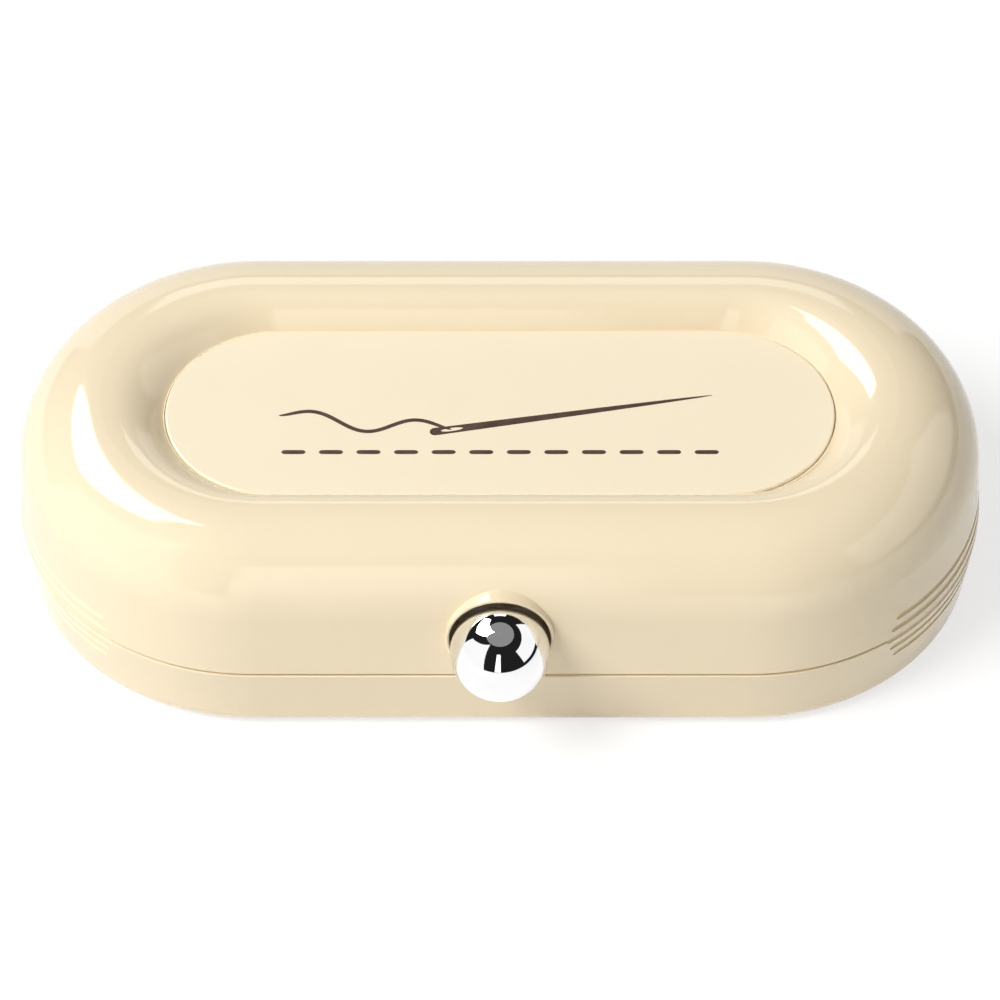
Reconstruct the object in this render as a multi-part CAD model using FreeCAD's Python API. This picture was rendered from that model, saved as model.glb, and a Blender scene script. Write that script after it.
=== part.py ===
"""Sewing box: a hinged pill-shaped case with a ball push latch, an insert tray and sewing things.

Millimetres. The origin is the centre of the flat bottom, +X runs along the box, -Y is the ball side
and +Z is up.
"""
import FreeCAD, Part
import math
import os

from FreeCAD import Vector

X_AXIS = Vector(1, 0, 0)
Y_AXIS = Vector(0, 1, 0)
Z_AXIS = Vector(0, 0, 1)
ORIGIN = Vector(0, 0, 0)

# Cuts run past the faces that they open, fused roots start inside what carries them, and edges
# are told apart to the tolerance
OVERRUN = 1.0
EMBED = 1.0
EDGE_TOLERANCE = 0.02

# Case, with its length and width taken over the shoulder: both walls lean out from there and from
# the foot to the parting line
LENGTH = 180.6
WIDTH = 88.0
HEIGHT = 45.0
PARTING_HEIGHT = 16.0
WALL = 2.4
FLOOR = 2.2
BASE_EDGE_RADIUS = 4.0
SHOULDER_RADIUS = 15.5
LID_DRAFT_ANGLE = 3.6
BASE_DRAFT_ANGLE = 7.0
PARTING_CHAMFER = 0.2
SHADOW_GAP_HEIGHT = 0.5
SHADOW_GAP_DEPTH = 0.8
TONGUE_THICKNESS = 1.0
TONGUE_HEIGHT = 1.8
LAP_CLEARANCE = 0.3

END_RADIUS = WIDTH / 2
HALF_STRAIGHT = LENGTH / 2 - END_RADIUS
INNER_RADIUS = END_RADIUS - WALL
RIDGE_RADIUS = END_RADIUS - SHOULDER_RADIUS
SHOULDER_CENTRE = HEIGHT - SHOULDER_RADIUS
CEILING = HEIGHT - WALL
LID_LEAN = math.tan(math.radians(LID_DRAFT_ANGLE))
BASE_LEAN = math.tan(math.radians(BASE_DRAFT_ANGLE))
SHOULDER_START = SHOULDER_CENTRE + SHOULDER_RADIUS * math.sin(math.radians(LID_DRAFT_ANGLE))
SHOULDER_START_RADIUS = RIDGE_RADIUS + SHOULDER_RADIUS * math.cos(math.radians(LID_DRAFT_ANGLE))
PARTING_RADIUS = SHOULDER_START_RADIUS + (SHOULDER_START - PARTING_HEIGHT) * LID_LEAN

# Dished top and its inlay panel
DISH_RUN = 6.9
DISH_END_SHIFT = 4.7
PANEL_THICKNESS = 1.6
PANEL_DROP = 5.0
PANEL_PROUD = 0.5
PANEL_EDGE_RADIUS = 0.4
PANEL_CLEARANCE = 0.15
PANEL_LEDGE = 0.4
PANEL_BACKING = 1.8
DISH_ROLL_POWER = 2.5
DISH_SECTIONS = 9

DISH_FOOT_RADIUS = RIDGE_RADIUS - DISH_RUN
PANEL_RADIUS = DISH_FOOT_RADIUS - PANEL_LEDGE
PANEL_HALF_STRAIGHT = HALF_STRAIGHT - DISH_END_SHIFT
PANEL_TOP = HEIGHT - PANEL_DROP
PANEL_BOTTOM = PANEL_TOP - PANEL_THICKNESS
DISH_FOOT_HEIGHT = PANEL_TOP - PANEL_PROUD
LID_UNDERSIDE = PANEL_BOTTOM - PANEL_BACKING

# Grip grooves round each end
GROOVE_RADIUS = 0.65
GROOVE_PITCH = 2.6
GROOVE_HALF_ANGLE = 54.0
GROOVE_STEP_ANGLE = 1.4
GROOVES_EACH_SIDE = 2

# Hinge at the rear
HINGE_END_MARGIN = 16.3
HINGE_OFFSET = 3.2
BARREL_RADIUS = 2.8
HINGE_PIN_RADIUS = 1.2
HINGE_PIN_CLEARANCE = 0.08
KNUCKLE_LENGTH = 12.0
EAR_LENGTH = 5.0
KNUCKLE_GAP = 0.3
HINGE_WEB_HEIGHT = 7.0
HINGE_WEB_GAP = 0.3
STOP_NUB_RADIUS = 0.6
LID_OPEN_ANGLE = 110.0
STOP_MARGIN_ANGLE = 1.0

HINGE_X = HALF_STRAIGHT - HINGE_END_MARGIN
HINGE_Y = PARTING_RADIUS + HINGE_OFFSET
HINGE_SPAN = KNUCKLE_LENGTH + 2 * (KNUCKLE_GAP + EAR_LENGTH)

# Push-ball latch
BALL_RADIUS = 9.2
BALL_PROTRUSION = 4.36
BALL_HEIGHT = 26.9
SOCKET_CLEARANCE = 0.2
COLLAR_WALL = 0.7
COLLAR_PROUD = 1.3
COLLAR_EDGE_RADIUS = 0.3
CUP_WALL = 1.4
CUP_FLOOR = 1.6
LATCH_TRAVEL = 3.0
TRAVEL_CLEARANCE = 0.3
STEM_RADIUS = 2.0
STEM_CLEARANCE = 0.08
STEM_GRIP = 4.0
TENON_RADIUS = 1.4
TENON_TAIL = 1.0
SPRING_POCKET_RADIUS = 4.0
SPRING_POCKET_OFFSET = 4.5
SPRING_WIRE_RADIUS = 0.35
SPRING_CLEARANCE = 0.65
SPRING_TURNS = 5
CLIP_RADIUS = 3.0
CLIP_BORE_RADIUS = 1.0
CLIP_THICKNESS = 0.6
CLIP_SLOT = 1.6

BALL_Y = -END_RADIUS - BALL_PROTRUSION
SOCKET_RADIUS = BALL_RADIUS + SOCKET_CLEARANCE
CUP_FLOOR_Y = BALL_Y + BALL_RADIUS + LATCH_TRAVEL + TRAVEL_CLEARANCE
CUP_BACK_Y = CUP_FLOOR_Y + CUP_FLOOR
CUP_RADIUS = SOCKET_RADIUS + CUP_WALL
COLLAR_RADIUS = SOCKET_RADIUS + COLLAR_WALL
SPRING_POCKET_Y = BALL_Y + SPRING_POCKET_OFFSET
SPRING_RADIUS = SPRING_POCKET_RADIUS - SPRING_CLEARANCE - SPRING_WIRE_RADIUS
LID_BLANK_BOTTOM = min(PARTING_HEIGHT, BALL_HEIGHT - CUP_RADIUS) - OVERRUN

# Latch hook and the ledge that it catches
HOOK_THICKNESS = 2.0
HOOK_WIDTH = 14.0
HOOK_HEAD = 4.0
NOSE_REACH = 5.2
NOSE_HEIGHT = 2.5
NOSE_LEAD = 1.6
HOOK_ENGAGEMENT = 2.2
HOOK_CLEARANCE = 0.3
LEDGE_DEPTH_BELOW_PARTING = 2.2
LEDGE_THICKNESS = 2.0
LEDGE_WIDTH = 14.0
LEDGE_LEAD = 1.2

HOOK_BACK_Y = CUP_BACK_Y + HOOK_THICKNESS
CLIP_BACK_Y = HOOK_BACK_Y + CLIP_THICKNESS
TENON_END_Y = CLIP_BACK_Y + TENON_TAIL
NOSE_TIP_Y = CUP_BACK_Y - NOSE_REACH
LEDGE_TIP_Y = NOSE_TIP_Y + HOOK_ENGAGEMENT
LEDGE_TOP = PARTING_HEIGHT - LEDGE_DEPTH_BELOW_PARTING
LEDGE_BOTTOM = LEDGE_TOP - LEDGE_THICKNESS
NOSE_TOP = LEDGE_BOTTOM - HOOK_CLEARANCE
NOSE_BOTTOM = NOSE_TOP - NOSE_HEIGHT

# Insert: a deck that rests on the shoulders of a tool tub and two round cups
TRAY_CLEARANCE = 0.5
TRAY_SHEET = 1.4
DECK_DEPTH_BELOW_PARTING = 1.0
WELL_WALL = 1.2
WELL_FLOOR = 1.2
WELL_MARGIN = 3.0
WELL_STEP = 0.5
COLLAR_CLEARANCE = 0.1
WELL_CORNER_RADIUS = 5.0
ROUND_WELL_RADIUS = 15.0
ROUND_WELL_END_MARGIN = 12.0
LID_HEADROOM = 1.2
NOTCH_MARGIN = 1.5
NOTCH_SIDE_MARGIN = 2.5

TRAY_RADIUS = INNER_RADIUS - TRAY_CLEARANCE
DECK_TOP = PARTING_HEIGHT - DECK_DEPTH_BELOW_PARTING
DECK_BOTTOM = DECK_TOP - TRAY_SHEET
WELL_BOTTOM = FLOOR + WELL_FLOOR

# Thread spools on their pegs
SPOOL_COUNT = 6
SPOOL_FLANGE_RADIUS = 8.5
SPOOL_FLANGE_THICKNESS = 1.6
SPOOL_CORE_RADIUS = 5.0
SPOOL_GAP = 3.0
SPOOL_EDGE_MARGIN = 7.0
PEG_RADIUS = 3.0
PEG_CLEARANCE = 0.1
PEG_TAIL = 1.0
PEG_BOSS_RADIUS = 4.6
PEG_BOSS_HEIGHT = 0.4
THREAD_INSET = 0.9
THREAD_BULGE = 0.5

SPOOL_PITCH = 2 * SPOOL_FLANGE_RADIUS + SPOOL_GAP
SPOOL_Y = TRAY_RADIUS - SPOOL_EDGE_MARGIN - SPOOL_FLANGE_RADIUS
SPOOL_BOTTOM = DECK_TOP + PEG_BOSS_HEIGHT
SPOOL_TOP = LID_UNDERSIDE - LID_HEADROOM - PEG_TAIL

# Thimble on its post
THIMBLE_X = 28.0
THIMBLE_RADIUS = 8.5
THIMBLE_TIP_RADIUS = 6.8
THIMBLE_HEADROOM = 2.6
THIMBLE_DOME = 4.0
THIMBLE_WALL = 0.8
THIMBLE_BEAD = 0.4
THIMBLE_BEAD_HEIGHT = 1.2
THIMBLE_EDGE_MARGIN = 2.6
POST_CLEARANCE = 0.4

THIMBLE_TOP = LID_UNDERSIDE - THIMBLE_HEADROOM
THIMBLE_Y = -(TRAY_RADIUS - THIMBLE_EDGE_MARGIN - THIMBLE_RADIUS)

# The tool tub lies between the spool row and the front strip
TOOL_WELL_BACK_Y = SPOOL_Y - SPOOL_FLANGE_RADIUS - WELL_MARGIN
TOOL_WELL_FRONT_Y = THIMBLE_Y + THIMBLE_RADIUS + WELL_MARGIN
TOOL_WELL_MID_Y = (TOOL_WELL_BACK_Y + TOOL_WELL_FRONT_Y) / 2
ROUND_WELL_X = HALF_STRAIGHT + TRAY_RADIUS - ROUND_WELL_END_MARGIN - ROUND_WELL_RADIUS
TOOL_WELL_HALF_LENGTH = ROUND_WELL_X - ROUND_WELL_RADIUS - 2 * WELL_WALL - WELL_MARGIN

# Pincushion in the right round cup, low enough for its pins to clear the lid
CUSHION_CLEARANCE = 0.6
CUSHION_HEADROOM = 12.2
CUSHION_FOOT_SHARE = 0.80
CUSHION_WAIST_SHARE = 0.62
PIN_RADIUS = 0.35
PIN_HEAD_RADIUS = 1.3
PIN_LENGTH = 17.0
PIN_STANDOUT = 7.0
PIN_COUNT = 4
PIN_RING_RADIUS = 5.5
PIN_TILT_ANGLE = 24.0

CUSHION_TOP = LID_UNDERSIDE - CUSHION_HEADROOM

# Needle magnet on the front strip and the needles on it
MAGNET_X = -28.0
MAGNET_LENGTH = 30.0
MAGNET_WIDTH = 12.0
MAGNET_THICKNESS = 2.0
MAGNET_EDGE = 0.5
NEEDLE_RADIUS = 0.4
NEEDLE_LENGTH = 26.0
NEEDLE_POINT_LENGTH = 6.0
NEEDLE_POINT_RADIUS = 0.08
NEEDLE_COUNT = 5
NEEDLE_PITCH = 2.0

# Buttons in the left round cup
BUTTON_RADIUS = 5.0
BUTTON_THICKNESS = 2.0
BUTTON_RIM_WIDTH = 0.9
BUTTON_DISH = 0.6
BUTTON_HOLE_RADIUS = 0.6
BUTTON_HOLE_RING_RADIUS = 1.3
BUTTON_HOLE_COUNT = 4
BUTTON_EDGE_MARGIN = 2.4
BUTTON_COUNT = 4

BUTTON_RING_RADIUS = ROUND_WELL_RADIUS - BUTTON_EDGE_MARGIN - BUTTON_RADIUS


def along(path):
    """Closed face outline from a start point and steps that are lines (one point) or arcs (two)."""
    edges = []
    here = path[0][-1]
    for step in path[1:]:
        if len(step) == 1:
            edges.append(Part.makeLine(here, step[0]))
        else:
            edges.append(Part.Arc(here, step[0], step[1]).toShape())
        here = step[-1]
    return Part.Face(Part.Wire(edges))


def arc_step(centre, radius, start_angle, end_angle):
    """Middle and end points, as (r, z), of an arc round centre."""
    def at(angle):
        turn = math.radians(angle)
        return (centre[0] + radius * math.cos(turn), centre[1] + radius * math.sin(turn))
    return [at((start_angle + end_angle) / 2), at(end_angle)]


def cap_step(radius, base, tip):
    """Middle and end points, as (r, z), of a round cap from its base radius to its tip on the axis."""
    rise = tip - base
    sphere = (radius ** 2 + rise ** 2) / (2 * rise)
    start = math.degrees(math.atan2(base - (tip - sphere), radius))
    return [arc_step((0, tip - sphere), sphere, start, 90)[0], (0, tip)]


def half_section(path, place):
    """Face of an (r, z) path, closed back to its start, put in space by place."""
    steps = [[place(*point) for point in step] for step in path]
    return along(steps + [[steps[0][-1]]])


def turned(path, centre=ORIGIN):
    """Solid of revolution of an (r, z) path about an upright axis through centre."""
    face = half_section(path, lambda r, z: Vector(centre.x + r, centre.y, z))
    return face.revolve(centre, Z_AXIS, 360)


def stadium_body(path, half_straight):
    """Solid with the (r, z) path as its section all round a stadium: two turned ends, two straight sides."""
    end_centre = Vector(half_straight, 0, 0)
    section = half_section(path, lambda r, z: Vector(half_straight + r, 0, z))
    section.rotate(end_centre, Z_AXIS, -90)
    right = section.revolve(end_centre, Z_AXIS, 180)
    side = half_section(path, lambda r, z: Vector(-half_straight, r, z))
    back = side.extrude(X_AXIS * (2 * half_straight))
    pieces = [right.mirror(ORIGIN, X_AXIS), back, back.mirror(ORIGIN, Y_AXIS)]
    return right.fuse(pieces).removeSplitter()


def stadium_wire(half_straight, radius, height):
    """Stadium outline at a height, starting at its rear right corner."""
    corner = [Vector(half_straight, radius, height), Vector(-half_straight, radius, height),
              Vector(-half_straight, -radius, height), Vector(half_straight, -radius, height)]
    left = Vector(-half_straight - radius, 0, height)
    right = Vector(half_straight + radius, 0, height)
    return Part.Wire([
        Part.makeLine(corner[0], corner[1]),
        Part.Arc(corner[1], left, corner[2]).toShape(),
        Part.makeLine(corner[2], corner[3]),
        Part.Arc(corner[3], right, corner[0]).toShape(),
    ])


def stadium_prism(half_straight, radius, bottom, top):
    """Straight stadium solid between two heights."""
    return Part.Face(stadium_wire(half_straight, radius, bottom)).extrude(Z_AXIS * (top - bottom))


def cylinder(radius, start, end):
    """Cylinder between two points."""
    run = end - start
    return Part.makeCylinder(radius, run.Length, start, run)


def box(x0, x1, y0, y1, z0, z1):
    """Box between two corners."""
    return Part.makeBox(x1 - x0, y1 - y0, z1 - z0, Vector(x0, y0, z0))


def x_prism(outline, half_width, middle=0):
    """Solid of a (y, z) outline, run along X to half_width each side of middle."""
    points = [Vector(middle - half_width, y, z) for y, z in outline]
    face = Part.Face(Part.makePolygon(points + [points[0]]))
    return face.extrude(X_AXIS * (2 * half_width))


def rounded_well(half_length, front, back, bottom, top, corner):
    """Upright block with rounded corners, centred on x = 0."""
    block = box(-half_length, half_length, front, back, bottom, top)
    upright = [edge for edge in block.Edges if abs(edge.tangentAt(edge.FirstParameter).z) > 0.5]
    return block.makeFillet(corner, upright)


def wall_radius(height):
    """Radius of the outside wall at a height between the foot's edge and the shoulder."""
    lean = LID_LEAN if height > PARTING_HEIGHT else -BASE_LEAN
    return PARTING_RADIUS - (height - PARTING_HEIGHT) * lean


def dish_wires():
    """Outlines up the dished top, from the foot beside the panel to the ridge, on one smooth roll."""
    wires = []
    for index in range(DISH_SECTIONS):
        run = index / (DISH_SECTIONS - 1)
        rise = 1 - (1 - run) ** DISH_ROLL_POWER
        wires.append(stadium_wire(
            PANEL_HALF_STRAIGHT + (HALF_STRAIGHT - PANEL_HALF_STRAIGHT) * run,
            DISH_FOOT_RADIUS + (RIDGE_RADIUS - DISH_FOOT_RADIUS) * run,
            DISH_FOOT_HEIGHT + (HEIGHT - DISH_FOOT_HEIGHT) * rise))
    return wires


def crown():
    """Top of the lid inside the ridge: an upright wall, the rolled dish and the flat under the panel."""
    wires = dish_wires()
    foot, ridge = wires[0], wires[-1]
    lower = stadium_wire(HALF_STRAIGHT, RIDGE_RADIUS, SHOULDER_CENTRE)
    skin = Part.makeLoft(wires, False, False).Faces + [Part.Face(foot), Part.Face(lower)]
    skin += lower.extrude(Z_AXIS * (ridge.BoundBox.ZMax - SHOULDER_CENTRE)).Faces
    sewn = Part.makeCompound(skin)
    sewn.sewShape()
    solid = Part.makeSolid(Part.Shell(sewn.Faces))
    if solid.Volume < 0:
        solid.reverse()
    return solid


def lid_outer():
    """Outside of the lid before its rim is cut: leaning wall, round shoulder and dished crown."""
    low_radius = PARTING_RADIUS + (PARTING_HEIGHT - LID_BLANK_BOTTOM) * LID_LEAN
    ring = [
        [(0, LID_BLANK_BOTTOM)],
        [(low_radius, LID_BLANK_BOTTOM)],
        [(SHOULDER_START_RADIUS, SHOULDER_START)],
        arc_step((RIDGE_RADIUS, SHOULDER_CENTRE), SHOULDER_RADIUS, LID_DRAFT_ANGLE, 90),
        [(RIDGE_RADIUS, SHOULDER_CENTRE)],
        [(0, SHOULDER_CENTRE)],
    ]
    return stadium_body(ring, HALF_STRAIGHT).fuse(crown()).removeSplitter()


def below_lid_rim():
    """All that lies under the lid's rim, with the shadow gap round it and the chamfer of its outer edge."""
    low = LID_BLANK_BOTTOM - OVERRUN
    past = PARTING_RADIUS + OVERRUN
    clear = PARTING_RADIUS + PARTING_CHAMFER / 4
    edge = PARTING_HEIGHT + SHADOW_GAP_HEIGHT
    return stadium_body([
        [(0, low)],
        [(past, low)],
        [(past, edge)],
        [(clear, edge)],
        [(clear, edge + clear - PARTING_RADIUS + PARTING_CHAMFER)],
        [(PARTING_RADIUS - PARTING_CHAMFER, edge)],
        [(PARTING_RADIUS - SHADOW_GAP_DEPTH, edge)],
        [(PARTING_RADIUS - SHADOW_GAP_DEPTH, PARTING_HEIGHT)],
        [(0, PARTING_HEIGHT)],
    ], HALF_STRAIGHT)


def lid_hollow():
    """Space inside the lid: wall thickness all round, with the dish standing down into it."""
    low = LID_BLANK_BOTTOM - OVERRUN
    inside = stadium_body([
        [(0, low)],
        [(INNER_RADIUS, low)],
        [(INNER_RADIUS, SHOULDER_CENTRE)],
        arc_step((RIDGE_RADIUS, SHOULDER_CENTRE), SHOULDER_RADIUS - WALL, 0, 90),
        [(0, CEILING)],
    ], HALF_STRAIGHT)
    dish_back = Part.makeLoft([
        stadium_wire(PANEL_HALF_STRAIGHT, PANEL_RADIUS + WALL, LID_UNDERSIDE),
        stadium_wire(HALF_STRAIGHT, RIDGE_RADIUS, CEILING),
    ], True, True)
    lap = stadium_prism(
        HALF_STRAIGHT, INNER_RADIUS + TONGUE_THICKNESS + LAP_CLEARANCE,
        low, PARTING_HEIGHT + TONGUE_HEIGHT + LAP_CLEARANCE)
    return inside.cut(dish_back).fuse(lap)


def grip_grooves():
    """Half-round grooves round both ends, the middle one on the parting line."""
    cutters = []
    end_centre = Vector(HALF_STRAIGHT, 0, 0)
    for step in range(-GROOVES_EACH_SIDE, GROOVES_EACH_SIDE + 1):
        height = PARTING_HEIGHT + step * GROOVE_PITCH
        reach = GROOVE_HALF_ANGLE - abs(step) * GROOVE_STEP_ANGLE
        start = Vector(HALF_STRAIGHT + wall_radius(height), 0, height)
        ring = Part.Face(Part.Wire(Part.Circle(start, Y_AXIS, GROOVE_RADIUS).toShape()))
        ring.rotate(end_centre, Z_AXIS, -reach)
        groove = ring.revolve(end_centre, Z_AXIS, 2 * reach)
        tips = []
        for side in (-1, 1):
            tip = Part.makeSphere(GROOVE_RADIUS, start)
            tip.rotate(end_centre, Z_AXIS, side * reach)
            tips.append(tip)
        right = groove.fuse(tips)
        cutters += [right, right.mirror(ORIGIN, X_AXIS)]
    return cutters


def hinge_spans():
    """Middles along X of the lid knuckle and of the two base ears of each hinge."""
    ear_offset = KNUCKLE_LENGTH / 2 + KNUCKLE_GAP + EAR_LENGTH / 2
    return [(side * HINGE_X, [side * HINGE_X - ear_offset, side * HINGE_X + ear_offset])
            for side in (-1, 1)]


def hinge_barrel(middle, length, bore, side):
    """Hinge barrel with its web to the wall above (side 1) or below (side -1) the parting line."""
    near = PARTING_HEIGHT + side * HINGE_WEB_GAP
    far = PARTING_HEIGHT + side * HINGE_WEB_HEIGHT
    rim = PARTING_HEIGHT + side * BARREL_RADIUS
    root = END_RADIUS - EMBED
    web = x_prism([(root, near), (HINGE_Y, near), (HINGE_Y, rim), (root, far)], length / 2, middle)
    start = Vector(middle - length / 2, HINGE_Y, PARTING_HEIGHT)
    end = Vector(middle + length / 2, HINGE_Y, PARTING_HEIGHT)
    hole = cylinder(bore, start - X_AXIS * OVERRUN, end + X_AXIS * OVERRUN)
    return web.fuse(cylinder(BARREL_RADIUS, start, end)), hole


def stop_nub(middle):
    """Rib on the lid knuckle that meets the base wall when the lid is fully open."""
    contact = 180 + math.degrees(math.acos((HINGE_OFFSET - STOP_NUB_RADIUS) / BARREL_RADIUS))
    turn = math.radians(contact + LID_OPEN_ANGLE + STOP_MARGIN_ANGLE)
    start = Vector(middle - KNUCKLE_LENGTH / 2, HINGE_Y + BARREL_RADIUS * math.cos(turn),
                   PARTING_HEIGHT + BARREL_RADIUS * math.sin(turn))
    return cylinder(STOP_NUB_RADIUS, start, start + X_AXIS * KNUCKLE_LENGTH)


def on_latch_axis(y):
    """Point on the axis of the ball latch."""
    return Vector(0, y, BALL_HEIGHT)


def latch_cup():
    """Block behind the ball for its socket and for the floor that guides its stem."""
    rim = WALL - TONGUE_THICKNESS - LAP_CLEARANCE
    return cylinder(CUP_RADIUS, on_latch_axis(-END_RADIUS + rim / 2), on_latch_axis(CUP_BACK_Y))


def collar_face(height):
    """Distance of the collar's face in front of the middle at a height, at the slant of the lid's wall."""
    return PARTING_RADIUS - (height - PARTING_HEIGHT) * LID_LEAN + COLLAR_PROUD


def socket_collar():
    """Collar round the socket, standing proud of the front wall with its face at the wall's slant."""
    low = BALL_HEIGHT - COLLAR_RADIUS - OVERRUN
    high = BALL_HEIGHT + COLLAR_RADIUS + OVERRUN
    behind_face = x_prism([(-collar_face(low), low), (-collar_face(high), high),
                           (CUP_FLOOR_Y, high), (CUP_FLOOR_Y, low)], COLLAR_RADIUS + OVERRUN)
    tube = cylinder(COLLAR_RADIUS, on_latch_axis(BALL_Y), on_latch_axis(CUP_FLOOR_Y))
    return tube.common(behind_face)


def ball_socket():
    """Bore that the ball slides in."""
    return cylinder(SOCKET_RADIUS, on_latch_axis(BALL_Y), on_latch_axis(CUP_FLOOR_Y))


def soften_collar(lid):
    """Round the outer and inner edges of the collar's face."""
    def on_face(edge):
        return all(abs(p.y + collar_face(p.z)) < EDGE_TOLERANCE for p in edge.discretize(5))
    return lid.makeFillet(COLLAR_EDGE_RADIUS, [edge for edge in lid.Edges if on_face(edge)])


def make_lid_shell():
    """Upper shell with the panel seat, the ball's cup, hinge knuckles and grip grooves."""
    outer = lid_outer()
    seat = stadium_prism(PANEL_HALF_STRAIGHT, PANEL_RADIUS + PANEL_CLEARANCE, PANEL_BOTTOM, HEIGHT)
    cup = [latch_cup().common(outer), socket_collar()]
    shell = outer.cut([lid_hollow(), seat]).fuse(cup).removeSplitter()
    guide = cylinder(STEM_RADIUS + STEM_CLEARANCE, on_latch_axis(CUP_FLOOR_Y - OVERRUN),
                     on_latch_axis(CUP_BACK_Y + OVERRUN))
    shell = soften_collar(shell.cut([ball_socket(), guide])).cut(below_lid_rim())
    knuckles = []
    holes = []
    for knuckle_x, _ in hinge_spans():
        barrel, hole = hinge_barrel(knuckle_x, KNUCKLE_LENGTH, HINGE_PIN_RADIUS + HINGE_PIN_CLEARANCE, 1)
        knuckles += [barrel, stop_nub(knuckle_x)]
        holes.append(hole)
    return shell.fuse(knuckles).cut(holes + grip_grooves()).removeSplitter()


def make_lid_panel():
    """Flat inlay plate of the lid, with a rounded upper edge."""
    plate = stadium_prism(PANEL_HALF_STRAIGHT, PANEL_RADIUS, PANEL_BOTTOM, PANEL_TOP)
    rim = [edge for edge in plate.Edges if edge.BoundBox.ZMin > (PANEL_BOTTOM + PANEL_TOP) / 2]
    return plate.makeFillet(PANEL_EDGE_RADIUS, rim)


def base_outer():
    """Outside of the base: flat bottom, rounded edge and leaning wall."""
    lean = math.radians(BASE_DRAFT_ANGLE)
    edge_top = BASE_EDGE_RADIUS * (1 - math.sin(lean))
    edge_centre = wall_radius(edge_top) - BASE_EDGE_RADIUS * math.cos(lean)
    return stadium_body([
        [(0, 0)],
        [(edge_centre, 0)],
        arc_step((edge_centre, BASE_EDGE_RADIUS), BASE_EDGE_RADIUS, -90, -BASE_DRAFT_ANGLE),
        [(wall_radius(PARTING_HEIGHT - PARTING_CHAMFER), PARTING_HEIGHT - PARTING_CHAMFER)],
        [(PARTING_RADIUS - PARTING_CHAMFER, PARTING_HEIGHT)],
        [(0, PARTING_HEIGHT)],
    ], HALF_STRAIGHT)


def base_hollow():
    """Space inside the base, with a rounded corner along the floor."""
    corner = BASE_EDGE_RADIUS - min(WALL, FLOOR) / 2
    return stadium_body([
        [(0, FLOOR)],
        [(INNER_RADIUS - corner, FLOOR)],
        arc_step((INNER_RADIUS - corner, FLOOR + corner), corner, -90, 0),
        [(INNER_RADIUS, PARTING_HEIGHT + TONGUE_HEIGHT + OVERRUN)],
        [(0, PARTING_HEIGHT + TONGUE_HEIGHT + OVERRUN)],
    ], HALF_STRAIGHT)


def base_tongue():
    """Raised lip inside the parting line, open at the front for the cup and at the rear for the hinge."""
    top = PARTING_HEIGHT + TONGUE_HEIGHT
    lip = stadium_prism(HALF_STRAIGHT, INNER_RADIUS + TONGUE_THICKNESS, PARTING_HEIGHT - EMBED, top)
    gap = CUP_RADIUS + LAP_CLEARANCE + CUP_WALL
    notch = box(-gap, gap, -END_RADIUS, CUP_BACK_Y, PARTING_HEIGHT, top + OVERRUN)
    return lip.cut(notch)


def catch_ledge():
    """Ledge on the front wall of the base, with a sloped top that leads the hook in."""
    root = -INNER_RADIUS - EMBED
    outline = [(root, LEDGE_BOTTOM), (LEDGE_TIP_Y, LEDGE_BOTTOM), (LEDGE_TIP_Y, LEDGE_TOP - LEDGE_LEAD),
               (LEDGE_TIP_Y - LEDGE_LEAD, LEDGE_TOP), (root, LEDGE_TOP)]
    return x_prism(outline, LEDGE_WIDTH / 2)


def make_base_shell():
    """Lower shell with its lip, catch ledge, hinge ears and grip grooves, clear of the ball."""
    shell = base_outer().fuse(base_tongue()).cut(base_hollow())
    ears = [catch_ledge()]
    holes = []
    for _, ear_middles in hinge_spans():
        for ear_x in ear_middles:
            barrel, hole = hinge_barrel(ear_x, EAR_LENGTH, HINGE_PIN_RADIUS, -1)
            ears.append(barrel)
            holes.append(hole)
    return shell.fuse(ears).cut(holes + [ball_socket()] + grip_grooves()).removeSplitter()


def make_hinge_pin(side):
    """Pin pressed into the two base ears of one hinge."""
    start = Vector(side * HINGE_X - HINGE_SPAN / 2, HINGE_Y, PARTING_HEIGHT)
    return cylinder(HINGE_PIN_RADIUS, start, start + X_AXIS * HINGE_SPAN)


def make_latch_ball():
    """Ball bored for its stem, with a pocket round it for the spring."""
    ball = Part.makeSphere(BALL_RADIUS, on_latch_axis(BALL_Y))
    pocket = cylinder(SPRING_POCKET_RADIUS, on_latch_axis(SPRING_POCKET_Y),
                      on_latch_axis(BALL_Y + BALL_RADIUS + OVERRUN))
    bore = cylinder(STEM_RADIUS, on_latch_axis(SPRING_POCKET_Y - STEM_GRIP), on_latch_axis(SPRING_POCKET_Y))
    return ball.cut([pocket, bore])


def make_latch_plunger():
    """Stem pressed into the ball, with a tenon for the hook and a groove for its clip."""
    stem = cylinder(STEM_RADIUS, on_latch_axis(SPRING_POCKET_Y - STEM_GRIP), on_latch_axis(CUP_BACK_Y))
    tenon = cylinder(TENON_RADIUS, on_latch_axis(CUP_BACK_Y), on_latch_axis(TENON_END_Y))
    groove = cylinder(TENON_RADIUS + OVERRUN, on_latch_axis(HOOK_BACK_Y), on_latch_axis(CLIP_BACK_Y))
    neck = cylinder(CLIP_BORE_RADIUS, on_latch_axis(HOOK_BACK_Y), on_latch_axis(CLIP_BACK_Y))
    return stem.fuse(tenon).cut(groove.cut(neck))


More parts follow.
